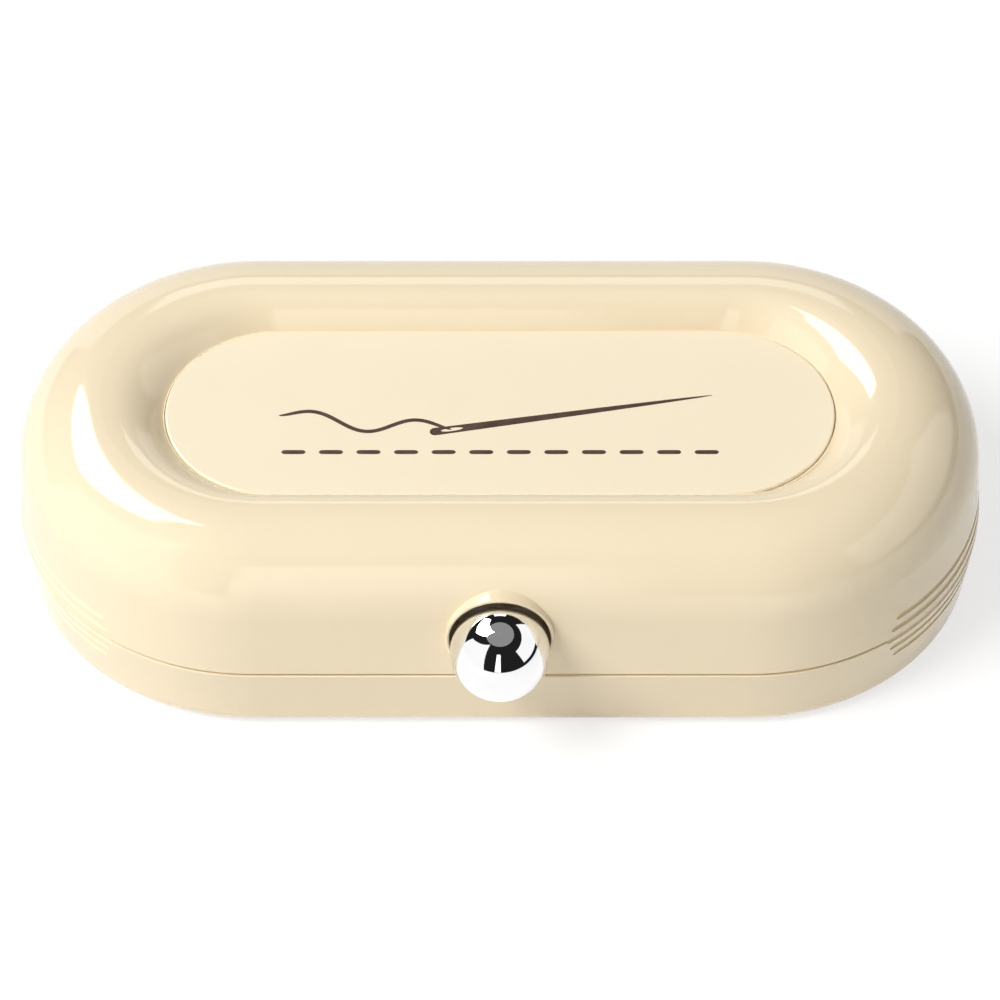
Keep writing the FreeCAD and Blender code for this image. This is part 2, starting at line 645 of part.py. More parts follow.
def make_latch_hook():
    """Plate on the tenon whose nose reaches forward under the ledge of the base."""
    head = BALL_HEIGHT + HOOK_HEAD
    outline = [(CUP_BACK_Y, head), (HOOK_BACK_Y, head), (HOOK_BACK_Y, NOSE_BOTTOM),
               (NOSE_TIP_Y + NOSE_LEAD, NOSE_BOTTOM), (NOSE_TIP_Y, NOSE_BOTTOM + NOSE_LEAD),
               (NOSE_TIP_Y, NOSE_TOP), (CUP_BACK_Y, NOSE_TOP)]
    hole = cylinder(TENON_RADIUS, on_latch_axis(CUP_BACK_Y - OVERRUN), on_latch_axis(HOOK_BACK_Y + OVERRUN))
    return x_prism(outline, HOOK_WIDTH / 2).cut(hole)


def make_latch_clip():
    """Retaining clip in the plunger's groove, open on one side."""
    ring = cylinder(CLIP_RADIUS, on_latch_axis(HOOK_BACK_Y), on_latch_axis(CLIP_BACK_Y))
    front = HOOK_BACK_Y - OVERRUN
    back = CLIP_BACK_Y + OVERRUN
    bore = cylinder(CLIP_BORE_RADIUS, on_latch_axis(front), on_latch_axis(back))
    slot = box(-CLIP_SLOT / 2, CLIP_SLOT / 2, front, back, BALL_HEIGHT, BALL_HEIGHT + CLIP_RADIUS + OVERRUN)
    return ring.cut([bore, slot])


def make_latch_spring():
    """Coil spring between the ball's pocket and the floor of the cup."""
    start = SPRING_POCKET_Y + SPRING_WIRE_RADIUS
    rise = CUP_FLOOR_Y - SPRING_WIRE_RADIUS - start

    def coil_point(quarters):
        turn = math.radians(90 * quarters)
        return Vector(SPRING_RADIUS * math.cos(turn), start + rise * quarters / (4 * SPRING_TURNS),
                      BALL_HEIGHT + SPRING_RADIUS * math.sin(turn))

    arcs = [Part.Arc(coil_point(index), coil_point(index + 0.5), coil_point(index + 1)).toShape()
            for index in range(4 * SPRING_TURNS)]
    path = Part.Wire(arcs)
    direction = arcs[0].tangentAt(arcs[0].FirstParameter)
    section = Part.Wire(Part.Circle(coil_point(0), direction, SPRING_WIRE_RADIUS).toShape())
    turn_gap = rise / SPRING_TURNS - 2 * SPRING_WIRE_RADIUS
    print("latch_spring: gap between turns", round(turn_gap, 3))
    return path.makePipeShell([section], True, False)


def spool_places():
    """Foot of each spool's peg on the deck, left to right."""
    first = -(SPOOL_COUNT - 1) / 2
    return [Vector((first + index) * SPOOL_PITCH, SPOOL_Y, 0) for index in range(SPOOL_COUNT)]


def thimble_paths():
    """Outer path of the thimble and, a wall inside it, the path of its hollow."""
    foot = DECK_TOP
    shoulder = THIMBLE_TOP - THIMBLE_DOME
    side = THIMBLE_RADIUS - THIMBLE_BEAD
    outer = [
        [(0, foot)],
        [(THIMBLE_RADIUS, foot)],
        [(THIMBLE_RADIUS, foot + THIMBLE_BEAD_HEIGHT)],
        [(side, foot + THIMBLE_BEAD_HEIGHT)],
        [(THIMBLE_TIP_RADIUS, shoulder)],
        cap_step(THIMBLE_TIP_RADIUS, shoulder, THIMBLE_TOP),
    ]
    inner_side = side - THIMBLE_WALL
    inner_tip = THIMBLE_TIP_RADIUS - THIMBLE_WALL
    return outer, inner_side, inner_tip, shoulder - THIMBLE_WALL


def make_thimble():
    """Tapered thimble with a domed tip and a beaded rim, standing on the deck."""
    outer, inner_side, inner_tip, roof = thimble_paths()
    place = Vector(THIMBLE_X, THIMBLE_Y, 0)
    hollow = [[(0, DECK_TOP)], [(inner_side, DECK_TOP)], [(inner_tip, roof)], [(0, roof)]]
    return turned(outer, place).cut(turned(hollow, place))


def make_thimble_post():
    """Post that fills the thimble, with a spigot through the deck."""
    _, inner_side, inner_tip, roof = thimble_paths()
    path = [[(0, DECK_BOTTOM)], [(PEG_RADIUS, DECK_BOTTOM)], [(PEG_RADIUS, DECK_TOP)],
            [(inner_side - POST_CLEARANCE, DECK_TOP)], [(inner_tip - POST_CLEARANCE, roof - POST_CLEARANCE)],
            [(0, roof - POST_CLEARANCE)]]
    return turned(path, Vector(THIMBLE_X, THIMBLE_Y, 0))


def round_well_places():
    """Axes of the left and right round cups."""
    return [Vector(side * ROUND_WELL_X, TOOL_WELL_MID_Y, 0) for side in (-1, 1)]


def tub_block(inset, bottom, top):
    """Block with the tool tub's outline, drawn in by inset."""
    reach = WELL_WALL - inset
    return rounded_well(TOOL_WELL_HALF_LENGTH + reach, TOOL_WELL_FRONT_Y - reach, TOOL_WELL_BACK_Y + reach,
                        bottom, top, WELL_CORNER_RADIUS + reach)


def cup_block(place, inset, bottom, top):
    """Cylinder with a round cup's outline, drawn in by inset."""
    return cylinder(ROUND_WELL_RADIUS + WELL_WALL - inset, place + Z_AXIS * bottom, place + Z_AXIS * top)


def well_from(block):
    """Open well with a shoulder for the deck and a collar level with it, from a block of its outline."""
    hollow = block(WELL_WALL, WELL_BOTTOM, DECK_TOP + OVERRUN)
    return block(0, FLOOR, DECK_BOTTOM).fuse(block(WELL_STEP, FLOOR, DECK_TOP)).cut(hollow).removeSplitter()


def make_tool_tub():
    """Long tub for loose tools, standing on the floor of the base."""
    return well_from(tub_block)


def make_round_cup(place):
    """Round cup standing on the floor of the base."""
    return well_from(lambda inset, bottom, top: cup_block(place, inset, bottom, top))


def make_insert_tray():
    """Deck with openings for the tub, the cups, the pegs and the latch hook."""
    deck = stadium_prism(HALF_STRAIGHT, TRAY_RADIUS, DECK_BOTTOM, DECK_TOP)
    low = DECK_BOTTOM - OVERRUN
    high = DECK_TOP + OVERRUN
    seat = WELL_STEP - COLLAR_CLEARANCE
    holes = [tub_block(seat, low, high)]
    holes += [cup_block(place, seat, low, high) for place in round_well_places()]
    for place in spool_places() + [Vector(THIMBLE_X, THIMBLE_Y, 0)]:
        holes.append(cylinder(PEG_RADIUS, place + Z_AXIS * low, place + Z_AXIS * high))
    notch_half = HOOK_WIDTH / 2 + NOTCH_SIDE_MARGIN
    notch_back = HOOK_BACK_Y + LATCH_TRAVEL + NOTCH_MARGIN
    holes.append(box(-notch_half, notch_half, -END_RADIUS, notch_back, low, high))
    return deck.cut(holes).removeSplitter()


def make_spool_pegs():
    """Pegs pressed into the deck, each with a boss that the spool turns on."""
    pegs = []
    for place in spool_places():
        shaft = cylinder(PEG_RADIUS, place + Z_AXIS * DECK_BOTTOM, place + Z_AXIS * (SPOOL_TOP + PEG_TAIL))
        boss = cylinder(PEG_BOSS_RADIUS, place + Z_AXIS * DECK_TOP, place + Z_AXIS * SPOOL_BOTTOM)
        pegs.append(shaft.fuse(boss))
    return Part.makeCompound(pegs)


def make_spool(place):
    """Flanged spool that turns on its peg."""
    bore = PEG_RADIUS + PEG_CLEARANCE
    lower = SPOOL_BOTTOM + SPOOL_FLANGE_THICKNESS
    upper = SPOOL_TOP - SPOOL_FLANGE_THICKNESS
    return turned([
        [(bore, SPOOL_BOTTOM)], [(SPOOL_FLANGE_RADIUS, SPOOL_BOTTOM)], [(SPOOL_FLANGE_RADIUS, lower)],
        [(SPOOL_CORE_RADIUS, lower)], [(SPOOL_CORE_RADIUS, upper)], [(SPOOL_FLANGE_RADIUS, upper)],
        [(SPOOL_FLANGE_RADIUS, SPOOL_TOP)], [(bore, SPOOL_TOP)]], place)


def make_thread(place):
    """Wound thread between the flanges, fullest at its middle."""
    lower = SPOOL_BOTTOM + SPOOL_FLANGE_THICKNESS
    upper = SPOOL_TOP - SPOOL_FLANGE_THICKNESS
    full = SPOOL_FLANGE_RADIUS - THREAD_INSET
    return turned([
        [(SPOOL_CORE_RADIUS, lower)], [(full - THREAD_BULGE, lower)],
        [(full, (lower + upper) / 2), (full - THREAD_BULGE, upper)], [(SPOOL_CORE_RADIUS, upper)]], place)


def cushion_radius():
    """Largest radius of the pincushion, clear of its well."""
    return ROUND_WELL_RADIUS - CUSHION_CLEARANCE


def make_pincushion():
    """Stuffed cushion in the right cup: flat foot, full sides that draw in, and a crown."""
    radius = cushion_radius()
    waist = WELL_BOTTOM + (CUSHION_TOP - WELL_BOTTOM) * (1 - CUSHION_WAIST_SHARE)
    foot_radius = radius * CUSHION_FOOT_SHARE
    low_mid = ((foot_radius + 2 * radius) / 3, (WELL_BOTTOM * 2 + waist) / 3)
    return turned([[(0, WELL_BOTTOM)], [(foot_radius, WELL_BOTTOM)], [low_mid, (radius, waist)],
                   cap_step(radius, waist, CUSHION_TOP)], round_well_places()[1])


def make_pincushion_pins():
    """Ball-headed pins pushed into the crown of the pincushion."""
    place = round_well_places()[1]
    pins = []
    for index in range(PIN_COUNT):
        turn = 360 * (index + 0.5) / PIN_COUNT
        head = CUSHION_TOP + PIN_STANDOUT - PIN_HEAD_RADIUS
        shaft = cylinder(PIN_RADIUS, Vector(0, 0, head - PIN_LENGTH), Vector(0, 0, head))
        pin = shaft.fuse(Part.makeSphere(PIN_HEAD_RADIUS, Vector(0, 0, head)))
        pin.rotate(Vector(0, 0, head - PIN_LENGTH), Y_AXIS, PIN_TILT_ANGLE)
        pin.translate(X_AXIS * (PIN_RING_RADIUS - PIN_LENGTH * math.sin(math.radians(PIN_TILT_ANGLE)) / 2))
        pin.rotate(ORIGIN, Z_AXIS, turn)
        pin.translate(place)
        pins.append(pin)
    return Part.makeCompound(pins)


def make_needle_magnet():
    """Magnet strip on the front of the deck, with softened upper edges."""
    strip = box(MAGNET_X - MAGNET_LENGTH / 2, MAGNET_X + MAGNET_LENGTH / 2, THIMBLE_Y - MAGNET_WIDTH / 2,
                THIMBLE_Y + MAGNET_WIDTH / 2, DECK_TOP, DECK_TOP + MAGNET_THICKNESS)
    upper = [edge for edge in strip.Edges if edge.BoundBox.ZMin > DECK_TOP + MAGNET_THICKNESS / 2]
    return strip.makeChamfer(MAGNET_EDGE, upper)


def make_needles():
    """Needles laid side by side on the magnet."""
    needles = []
    height = DECK_TOP + MAGNET_THICKNESS + NEEDLE_RADIUS
    for index in range(NEEDLE_COUNT):
        y = THIMBLE_Y + (index - (NEEDLE_COUNT - 1) / 2) * NEEDLE_PITCH
        start = Vector(MAGNET_X - NEEDLE_LENGTH / 2, y, height)
        neck = start + X_AXIS * (NEEDLE_LENGTH - NEEDLE_POINT_LENGTH)
        point = Part.makeCone(NEEDLE_RADIUS, NEEDLE_POINT_RADIUS, NEEDLE_POINT_LENGTH, neck, X_AXIS)
        needles.append(cylinder(NEEDLE_RADIUS, start, neck).fuse(point))
    return Part.makeCompound(needles)


def make_buttons():
    """Four-hole buttons lying on the floor of the left cup."""
    centre = round_well_places()[0]
    top = WELL_BOTTOM + BUTTON_THICKNESS
    buttons = []
    for index in range(BUTTON_COUNT):
        turn = math.radians(360 * index / BUTTON_COUNT)
        place = centre + Vector(math.cos(turn), math.sin(turn), 0) * BUTTON_RING_RADIUS
        disc = cylinder(BUTTON_RADIUS, place + Z_AXIS * WELL_BOTTOM, place + Z_AXIS * top)
        cuts = [cylinder(BUTTON_RADIUS - BUTTON_RIM_WIDTH, place + Z_AXIS * (top - BUTTON_DISH),
                         place + Z_AXIS * (top + OVERRUN))]
        for hole in range(BUTTON_HOLE_COUNT):
            hole_turn = math.radians(360 * hole / BUTTON_HOLE_COUNT) + turn
            spot = place + Vector(math.cos(hole_turn), math.sin(hole_turn), 0) * BUTTON_HOLE_RING_RADIUS
            cuts.append(cylinder(BUTTON_HOLE_RADIUS, spot + Z_AXIS * (WELL_BOTTOM - OVERRUN),
                                 spot + Z_AXIS * (top + OVERRUN)))
        buttons.append(disc.cut(cuts))
    return Part.makeCompound(buttons)


def all_parts():
    """Every piece of the box by its node name."""
    parts = {
        "base_shell": make_base_shell(),
        "lid_shell": make_lid_shell(),
        "lid_panel": make_lid_panel(),
        "hinge_pin_left": make_hinge_pin(-1),
        "hinge_pin_right": make_hinge_pin(1),
        "latch_ball": make_latch_ball(),
        "latch_plunger": make_latch_plunger(),
        "latch_spring": make_latch_spring(),
        "latch_hook": make_latch_hook(),
        "latch_clip": make_latch_clip(),
        "insert_tray": make_insert_tray(),
        "tool_tub": make_tool_tub(),
        "button_cup": make_round_cup(round_well_places()[0]),
        "cushion_cup": make_round_cup(round_well_places()[1]),
        "spool_pegs": make_spool_pegs(),
        "thimble_post": make_thimble_post(),
        "thimble": make_thimble(),
        "pincushion": make_pincushion(),
        "pincushion_pins": make_pincushion_pins(),
        "needle_magnet": make_needle_magnet(),
        "needles": make_needles(),
        "buttons": make_buttons(),
    }
    for index, place in enumerate(spool_places(), start=1):
        parts[f"spool_{index}"] = make_spool(place)
        parts[f"thread_{index}"] = make_thread(place)
    return parts


os.makedirs("parts", exist_ok=True)
for name, shape in all_parts().items():
    state = "valid" if shape.isValid() else "NOT VALID"
    print(name, state, len(shape.Solids), "solids", round(shape.Volume, 1), "mm3")
    shape.exportStep(f"parts/{name}.step")
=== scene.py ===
"""Looks of the sewing box: its studio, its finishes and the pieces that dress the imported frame.

Metres. +X runs along the box, -Y is the ball side and +Z is up.
"""
import logging
import math
from dataclasses import dataclass
from enum import Enum
from functools import cached_property
from typing import Callable, Sequence

import bmesh
import bpy
from mathutils import Matrix, Vector
from mathutils.bvhtree import BVHTree


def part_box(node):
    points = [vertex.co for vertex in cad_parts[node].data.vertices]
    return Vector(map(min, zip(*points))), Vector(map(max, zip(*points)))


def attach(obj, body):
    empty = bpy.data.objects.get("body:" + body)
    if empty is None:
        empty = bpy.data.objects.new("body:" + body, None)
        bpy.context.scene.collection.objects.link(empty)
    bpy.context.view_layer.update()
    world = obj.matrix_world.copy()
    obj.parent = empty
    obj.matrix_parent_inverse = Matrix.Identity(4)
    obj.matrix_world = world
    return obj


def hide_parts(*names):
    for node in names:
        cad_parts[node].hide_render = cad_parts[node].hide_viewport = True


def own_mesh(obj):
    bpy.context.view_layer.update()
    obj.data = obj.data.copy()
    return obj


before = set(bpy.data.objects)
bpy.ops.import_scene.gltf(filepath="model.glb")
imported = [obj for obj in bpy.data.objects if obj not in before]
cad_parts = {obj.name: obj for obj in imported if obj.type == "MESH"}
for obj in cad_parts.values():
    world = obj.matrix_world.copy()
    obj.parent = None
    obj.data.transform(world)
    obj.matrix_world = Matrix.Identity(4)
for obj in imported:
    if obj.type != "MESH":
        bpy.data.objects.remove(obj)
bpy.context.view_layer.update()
LOG = logging.getLogger("sewing_box")
MM = 0.001
MERGE_DISTANCE = 1e-7
SHARP_ANGLE = math.radians(34)
CORNER_SHARE = 0.45
AXIS_REACH = 0.01 * MM
LOW_STOP = 0.3
HIGH_STOP = 0.7
WHITE = (1.0, 1.0, 1.0, 1.0)
EVEN = (1.0, 1.0, 1.0)

Colour = tuple[float, float, float]
Point = tuple[float, float, float]
Spot = tuple[float, float]
Profile = list[Spot]
Shift = Callable[[float, float, float], float]
Socket = bpy.types.NodeSocket


class Body(Enum):
    """Bodies of the frame that carry pieces, apart from the spools."""

    BASE = "base"
    LID = "lid"


@dataclass(frozen=True)
class Extent:
    """Box of a frame node at rest."""

    low: Vector
    high: Vector

    @classmethod
    def of(cls, node: str) -> "Extent":
        """Box of one node of the frame."""
        low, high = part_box(node)
        return cls(Vector(low), Vector(high))

    @property
    def size(self) -> Vector:
        """Lengths of the box's sides."""
        return self.high - self.low

    @property
    def middle(self) -> Vector:
        """Middle of the box."""
        return (self.low + self.high) / 2

    @property
    def foot(self) -> Vector:
        """Middle of the box's lower face."""
        return Vector((self.middle.x, self.middle.y, self.low.z))


def linear(red: int, green: int, blue: int) -> Colour:
    """Linear colour of a screen colour.

    Args:
        red: Red from 0 to 255.
        green: Green from 0 to 255.
        blue: Blue from 0 to 255.

    Returns:
        The three linear values.
    """
    shares = (value / 255 for value in (red, green, blue))
    return tuple(share / 12.92 if share <= 0.04045 else ((share + 0.055) / 1.055) ** 2.4
                 for share in shares)


def shade(colour: Colour, factor: float) -> Colour:
    """Colour made darker or lighter by a factor."""
    return tuple(min(1.0, channel * factor) for channel in colour)


def mesh_of(name: str, points: Sequence[Point], edges: Sequence[tuple[int, int]] = (),
            faces: Sequence[tuple[int, ...]] = ()) -> bpy.types.Mesh:
    """Mesh of points, joined by edges or faces.

    Args:
        name: Name of the mesh.
        points: Places of its points.
        edges: Pairs of points.
        faces: Rings of points.

    Returns:
        The mesh.
    """
    mesh = bpy.data.meshes.new(name)
    mesh.from_pydata(points, edges, faces)
    return mesh


def added(name: str, data: bpy.types.ID) -> bpy.types.Object:
    """New object in the scene.

    Args:
        name: Name of the object.
        data: Mesh, lamp or camera that it shows.

    Returns:
        The object.
    """
    thing = bpy.data.objects.new(name, data)
    bpy.context.scene.collection.objects.link(thing)
    return thing


def result_of(piece: bpy.types.Object) -> bpy.types.Mesh:
    """Plain mesh that a piece's modifiers make of it."""
    graph = bpy.context.evaluated_depsgraph_get()
    return bpy.data.meshes.new_from_object(piece.evaluated_get(graph), depsgraph=graph)


def closed(mesh: bpy.types.Mesh) -> bpy.types.Mesh:
    """Merge a mesh's doubles, turn its faces outward and smooth it between sharp edges.

    Args:
        mesh: Mesh to finish in place.

    Returns:
        The same mesh.
    """
    work = bmesh.new()
    work.from_mesh(mesh)
    bmesh.ops.remove_doubles(work, verts=work.verts, dist=MERGE_DISTANCE)
    bmesh.ops.recalc_face_normals(work, faces=work.faces)
    work.to_mesh(mesh)
    work.free()
    mesh.shade_smooth()
    mesh.set_sharp_from_angle(angle=SHARP_ANGLE)
    return mesh


def eased(outline: Profile, radius: float, steps: int = 4) -> Profile:
    """Closed outline with its corners rounded.

    Args:
        outline: Corners in order.
        radius: Reach of the rounding from each corner, less on short sides.
        steps: Facets of each rounding.

    Returns:
        The outline with its rounded corners.
    """
    rounded: Profile = []
    count = len(outline)
    for index in range(count):
        before, here, after = (Vector(outline[(index + shift) % count]) for shift in (-1, 0, 1))
        reach = min(radius, CORNER_SHARE * (before - here).length, CORNER_SHARE * (after - here).length)
        start = here + (before - here).normalized() * reach
        end = here + (after - here).normalized() * reach
        for step in range(steps + 1):
            share = step / steps
            rounded.append(tuple(start.lerp(here, share).lerp(here.lerp(end, share), share)))
    return rounded


def arc(centre: Spot, reach: Spot, start: float, end: float, steps: int) -> Profile:
    """Points of an ellipse's arc, without its first.

    Args:
        centre: Middle of the ellipse.
        reach: Its two half axes.
        start: First angle in degrees.
        end: Last angle in degrees.
        steps: Points after the first.

    Returns:
        The points in order.
    """
    turns = [math.radians(start + (end - start) * step / steps) for step in range(1, steps + 1)]
    return [(centre[0] + reach[0] * math.cos(turn), centre[1] + reach[1] * math.sin(turn)) for turn in turns]


def turned(name: str, outline: Profile, centre: Vector, steps: int,
           shift: Shift | None = None) -> bpy.types.Mesh:
    """Mesh of a closed (radius, height) outline turned about an upright axis.

    Args:
        name: Name of the mesh.
        outline: Corners of the half section in order.
        centre: Foot of the axis, from which the heights count.
        steps: Faces round the axis.
        shift: What a point's radius gains, from its radius, its height and its turn in radians.

    Returns:
        The mesh, closed and smoothed.
    """
    points: list[Point] = []
    for step in range(steps):
        turn = math.tau * step / steps
        for radius, height in outline:
            reach = radius + (shift(radius, height, turn) if shift else 0.0)
            points.append((centre.x + reach * math.cos(turn), centre.y + reach * math.sin(turn),
                           centre.z + height))
    count = len(outline)
    faces = []
    for step in range(steps):
        here, there = step * count, (step + 1) % steps * count
        for index in range(count):
            following = (index + 1) % count
            if max(outline[index][0], outline[following][0]) > MERGE_DISTANCE:
                faces.append((here + index, there + index, there + following, here + following))
    return closed(mesh_of(name, points, faces=faces))


def put(mesh: bpy.types.Mesh, finish: bpy.types.Material, body: str, nodes: Sequence[str] = ()) -> bpy.types.Object:
    """Set a finished mesh into the scene as a piece of the box.

    Args:
        mesh: Mesh in its place.
        finish: Material of the whole piece.
        body: Body that it rides on.
        nodes: Frame nodes that it stands for.

    Returns:
        The piece.
    """
    mesh.materials.clear()
    mesh.materials.append(finish)
    piece = added(mesh.name, mesh)
    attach(piece, body)
    if nodes:
        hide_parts(*nodes)
    LOG.info("%s on %s, %d faces", piece.name, body, len(mesh.polygons))
    return piece


class NodeBoard:
    """Node tree with short ways to add and join its nodes."""

    def __init__(self, tree: bpy.types.NodeTree) -> None:
        """Take a tree and clear it."""
        self.tree = tree
        tree.nodes.clear()

    def feed(self, entry: Socket, value: object) -> None:
        """Join another node's socket to an input, or set the input to a plain value.

        Args:
            entry: Input of a node.
            value: Socket or plain value.
        """
        if isinstance(value, Socket):
            self.tree.links.new(value, entry)
        else:
            entry.default_value = value

    def add(self, kind: str, joins: dict[str | int, object] | None = None, output: str | int | None = None,
            **settings: object) -> Socket | None:
        """Add a node.

        Args:
            kind: Type of the node.
            joins: Sockets or plain values for its inputs.
            output: Output to hand back, where it isn't the first in use.
            settings: Values for the node's own settings.

        Returns:
            The output, or None where the node has none.
        """
        node = self.tree.nodes.new(kind)
        for name, value in settings.items():
            setattr(node, name, value)
        for key, value in (joins or {}).items():
            self.feed(node.inputs[key], value)
        if output is not None:
            return node.outputs[output]
        return next((socket for socket in node.outputs if socket.enabled), None)

    def maths(self, operation: str, *values: object) -> Socket:
        """Result of an operation on values, each a socket or a number."""
        return self.add("ShaderNodeMath", dict(enumerate(values)), operation=operation)


class Grower(NodeBoard):
    """Geometry Nodes tree with named inputs that grows one plain mesh for each piece."""

    def __init__(self, name: str, sizes: Sequence[str], counts: Sequence[str] = ()) -> None:
        """Start the tree with its inputs.

        Args:
            name: Name of the tree.
            sizes: Names of its inputs that are lengths or shares.
            counts: Names of its inputs that are whole numbers.
        """
        super().__init__(bpy.data.node_groups.new(name, "GeometryNodeTree"))
        interface = self.tree.interface
        for way in ("OUTPUT", "INPUT"):
            interface.new_socket("Geometry", in_out=way, socket_type="NodeSocketGeometry")
        kinds = [(label, "NodeSocketFloat") for label in sizes]
        kinds += [(label, "NodeSocketInt") for label in counts]
        kinds.append(("Finish", "NodeSocketMaterial"))
        self.keys = {label: interface.new_socket(label, in_out="INPUT", socket_type=kind).identifier
                     for label, kind in kinds}
        self.entry = self.tree.nodes.new("NodeGroupInput")

    def given(self, label: str) -> Socket:
        """Value of one of the tree's inputs."""
        return self.entry.outputs[label]

    def vector(self, x: object = 0.0, y: object = 0.0, z: object = 0.0) -> Socket:
        """Vector of three values, each a socket or a number."""
        return self.add("ShaderNodeCombineXYZ", {0: x, 1: y, 2: z})

    def vectors(self, operation: str, *values: object) -> Socket:
        """Result of an operation on vectors."""
        return self.add("ShaderNodeVectorMath", dict(enumerate(values)), operation=operation)

    def place(self) -> Socket:
        """Place of each point."""
        return self.add("GeometryNodeInputPosition")

    def along(self, measure: str = "Factor") -> Socket:
        """Factor or Length along the curve of each of its points."""
        return self.add("GeometryNodeSplineParameter", output=measure)

    def marked(self, geometry: Socket, name: str, value: object, domain: str = "POINT") -> Socket:
        """Geometry that carries a named value for its material.

        Args:
            geometry: Geometry to mark.
            name: Name of the attribute.
            value: Socket or number to store.
            domain: What the value is stored on.

        Returns:
            The marked geometry.
        """
        values = {"Geometry": geometry, "Name": name, "Value": value}
        return self.add("GeometryNodeStoreNamedAttribute", values, data_type="FLOAT", domain=domain)

    def joined(self, first: Socket, second: Socket) -> Socket:
        """Two geometries as one.

        Args:
            first: One of them.
            second: The other.

        Returns:
            Both together.
        """
        node = self.tree.nodes.new("GeometryNodeJoinGeometry")
        for geometry in (first, second):
            self.tree.links.new(geometry, node.inputs[0])
        return node.outputs[0]

    def line(self, end: Socket, count: int, start: object = (0, 0, 0)) -> Socket:
        """Straight curve of evenly spaced points.

        Args:
            end: Place of its last point.
            count: Number of points.
            start: Place of its first point.

        Returns:
            The curve.
        """
        line = self.add("GeometryNodeCurvePrimitiveLine", {"Start": start, "End": end})
        return self.add("GeometryNodeResampleCurve", {"Curve": line, "Count": count})

    def edges(self) -> Socket:
        """Curves along the edges of the mesh that the tree starts from."""
        return self.add("GeometryNodeMeshToCurve", {"Mesh": self.given("Geometry")})

    def swept(self, curve: Socket, section: Socket, scale: object) -> Socket:
        """Closed mesh of a section along a curve.

        Args:
            curve: Curve to follow.
            section: Closed curve across it.
            scale: Share of the section at each point of the curve.

        Returns:
            The mesh.
        """
        return self.add("GeometryNodeCurveToMesh", {"Curve": curve, "Profile Curve": section, "Scale": scale,
                                                    "Fill Caps": True})

    def tube(self, curve: Socket, radius: object, sides: int, scale: object = 1.0) -> Socket:
        """Round tube along a curve, marked with how far along and round it each point is.

        Args:
            curve: Curve to follow.
            radius: Radius of the tube.
            sides: Facets round it.
            scale: Share of the radius at each point of the curve.

        Returns:
            The tube's mesh.
        """
        path = self.marked(curve, "along", self.along("Length"))
        ring = self.add("GeometryNodeCurvePrimitiveCircle", {"Resolution": sides, "Radius": radius})
        return self.swept(path, self.marked(ring, "around", self.along()), scale)

    def ribbon(self, curve: Socket, scale: object) -> Socket:
        """Flat band along a level curve, of the tree's Width and, upward, its Film.

        Args:
            curve: Curve to follow.
            scale: Share of the width at each point of the curve.

        Returns:
            The band's mesh.
        """
        level = self.add("GeometryNodeSetCurveNormal", {"Curve": curve}, mode="Z_UP")
        section = self.add("GeometryNodeCurvePrimitiveQuadrilateral",
                           {"Width": self.given("Width"), "Height": self.given("Film")})
        return self.swept(level, section, scale)

    def first_of_row(self) -> Socket:
        """Place of the first of Count copies that stand Pitch apart about the middle."""
        gaps = self.maths("SUBTRACT", self.given("Count"), 1.0)
        return self.maths("MULTIPLY", self.maths("MULTIPLY", gaps, self.given("Pitch")), -0.5)

    def row(self, copy: Socket, start: Socket, step: Socket) -> Socket:
        """Count copies in a straight row.

        Args:
            copy: Geometry of one of them.
            start: Place of the first.
            step: Way from one to the next.

        Returns:
            The row of instances.
        """
        points = self.add("GeometryNodeMeshLine",
                          {"Count": self.given("Count"), "Start Location": start, "Offset": step})
        return self.add("GeometryNodeInstanceOnPoints", {"Points": points, "Instance": copy})

    def ring(self, count: str, radius: str) -> Socket:
        """Points evenly round the Z axis, by the names of the inputs for their count and radius."""
        return self.add("GeometryNodeMeshCircle",
                        {"Vertices": self.given(count), "Radius": self.given(radius)})

    def end(self, geometry: Socket) -> "Grower":
        """Close the tree with real geometry in the given finish.

        Args:
            geometry: All that the tree makes.

        Returns:
            The tree, ready to grow.
        """
        real = self.add("GeometryNodeRealizeInstances", {"Geometry": geometry})
        done = self.add("GeometryNodeSetMaterial", {"Geometry": real, "Material": self.given("Finish")})
        self.add("NodeGroupOutput", {0: done})
        return self

    def grow(self, name: str, values: dict[str, float], finish: bpy.types.Material,
             start: bpy.types.Mesh | None = None) -> bpy.types.Mesh:
        """Grow one mesh.

        Args:
            name: Name of the mesh.
            values: Values for the tree's inputs.
            finish: Material for the Set Material node.
            start: Mesh that the tree starts from, where it needs one.

        Returns:
            The grown mesh, with nothing left live on it.
        """
        seed = start or bpy.data.meshes.new(name)
        stem = added(name, seed)
        modifier = stem.modifiers.new(name, "NODES")
        modifier.node_group = self.tree
        for label, value in {**values, "Finish": finish}.items():
            modifier[self.keys[label]] = value
        grown = result_of(stem)
        bpy.data.objects.remove(stem)
        bpy.data.meshes.remove(seed)
        grown.name = name
        return closed(grown)


@dataclass(frozen=True)
class Grain:
    """Cloudy noise on a piece: clouds per metre, octaves of finer noise and stretch along each axis."""

    scale: float
    detail: float = 2.0
    stretch: Point = EVEN


@dataclass(frozen=True)
class Relief:
    """Bump of a pattern: the share of it that shows and the height of a full step."""

    strength: float
    height: float


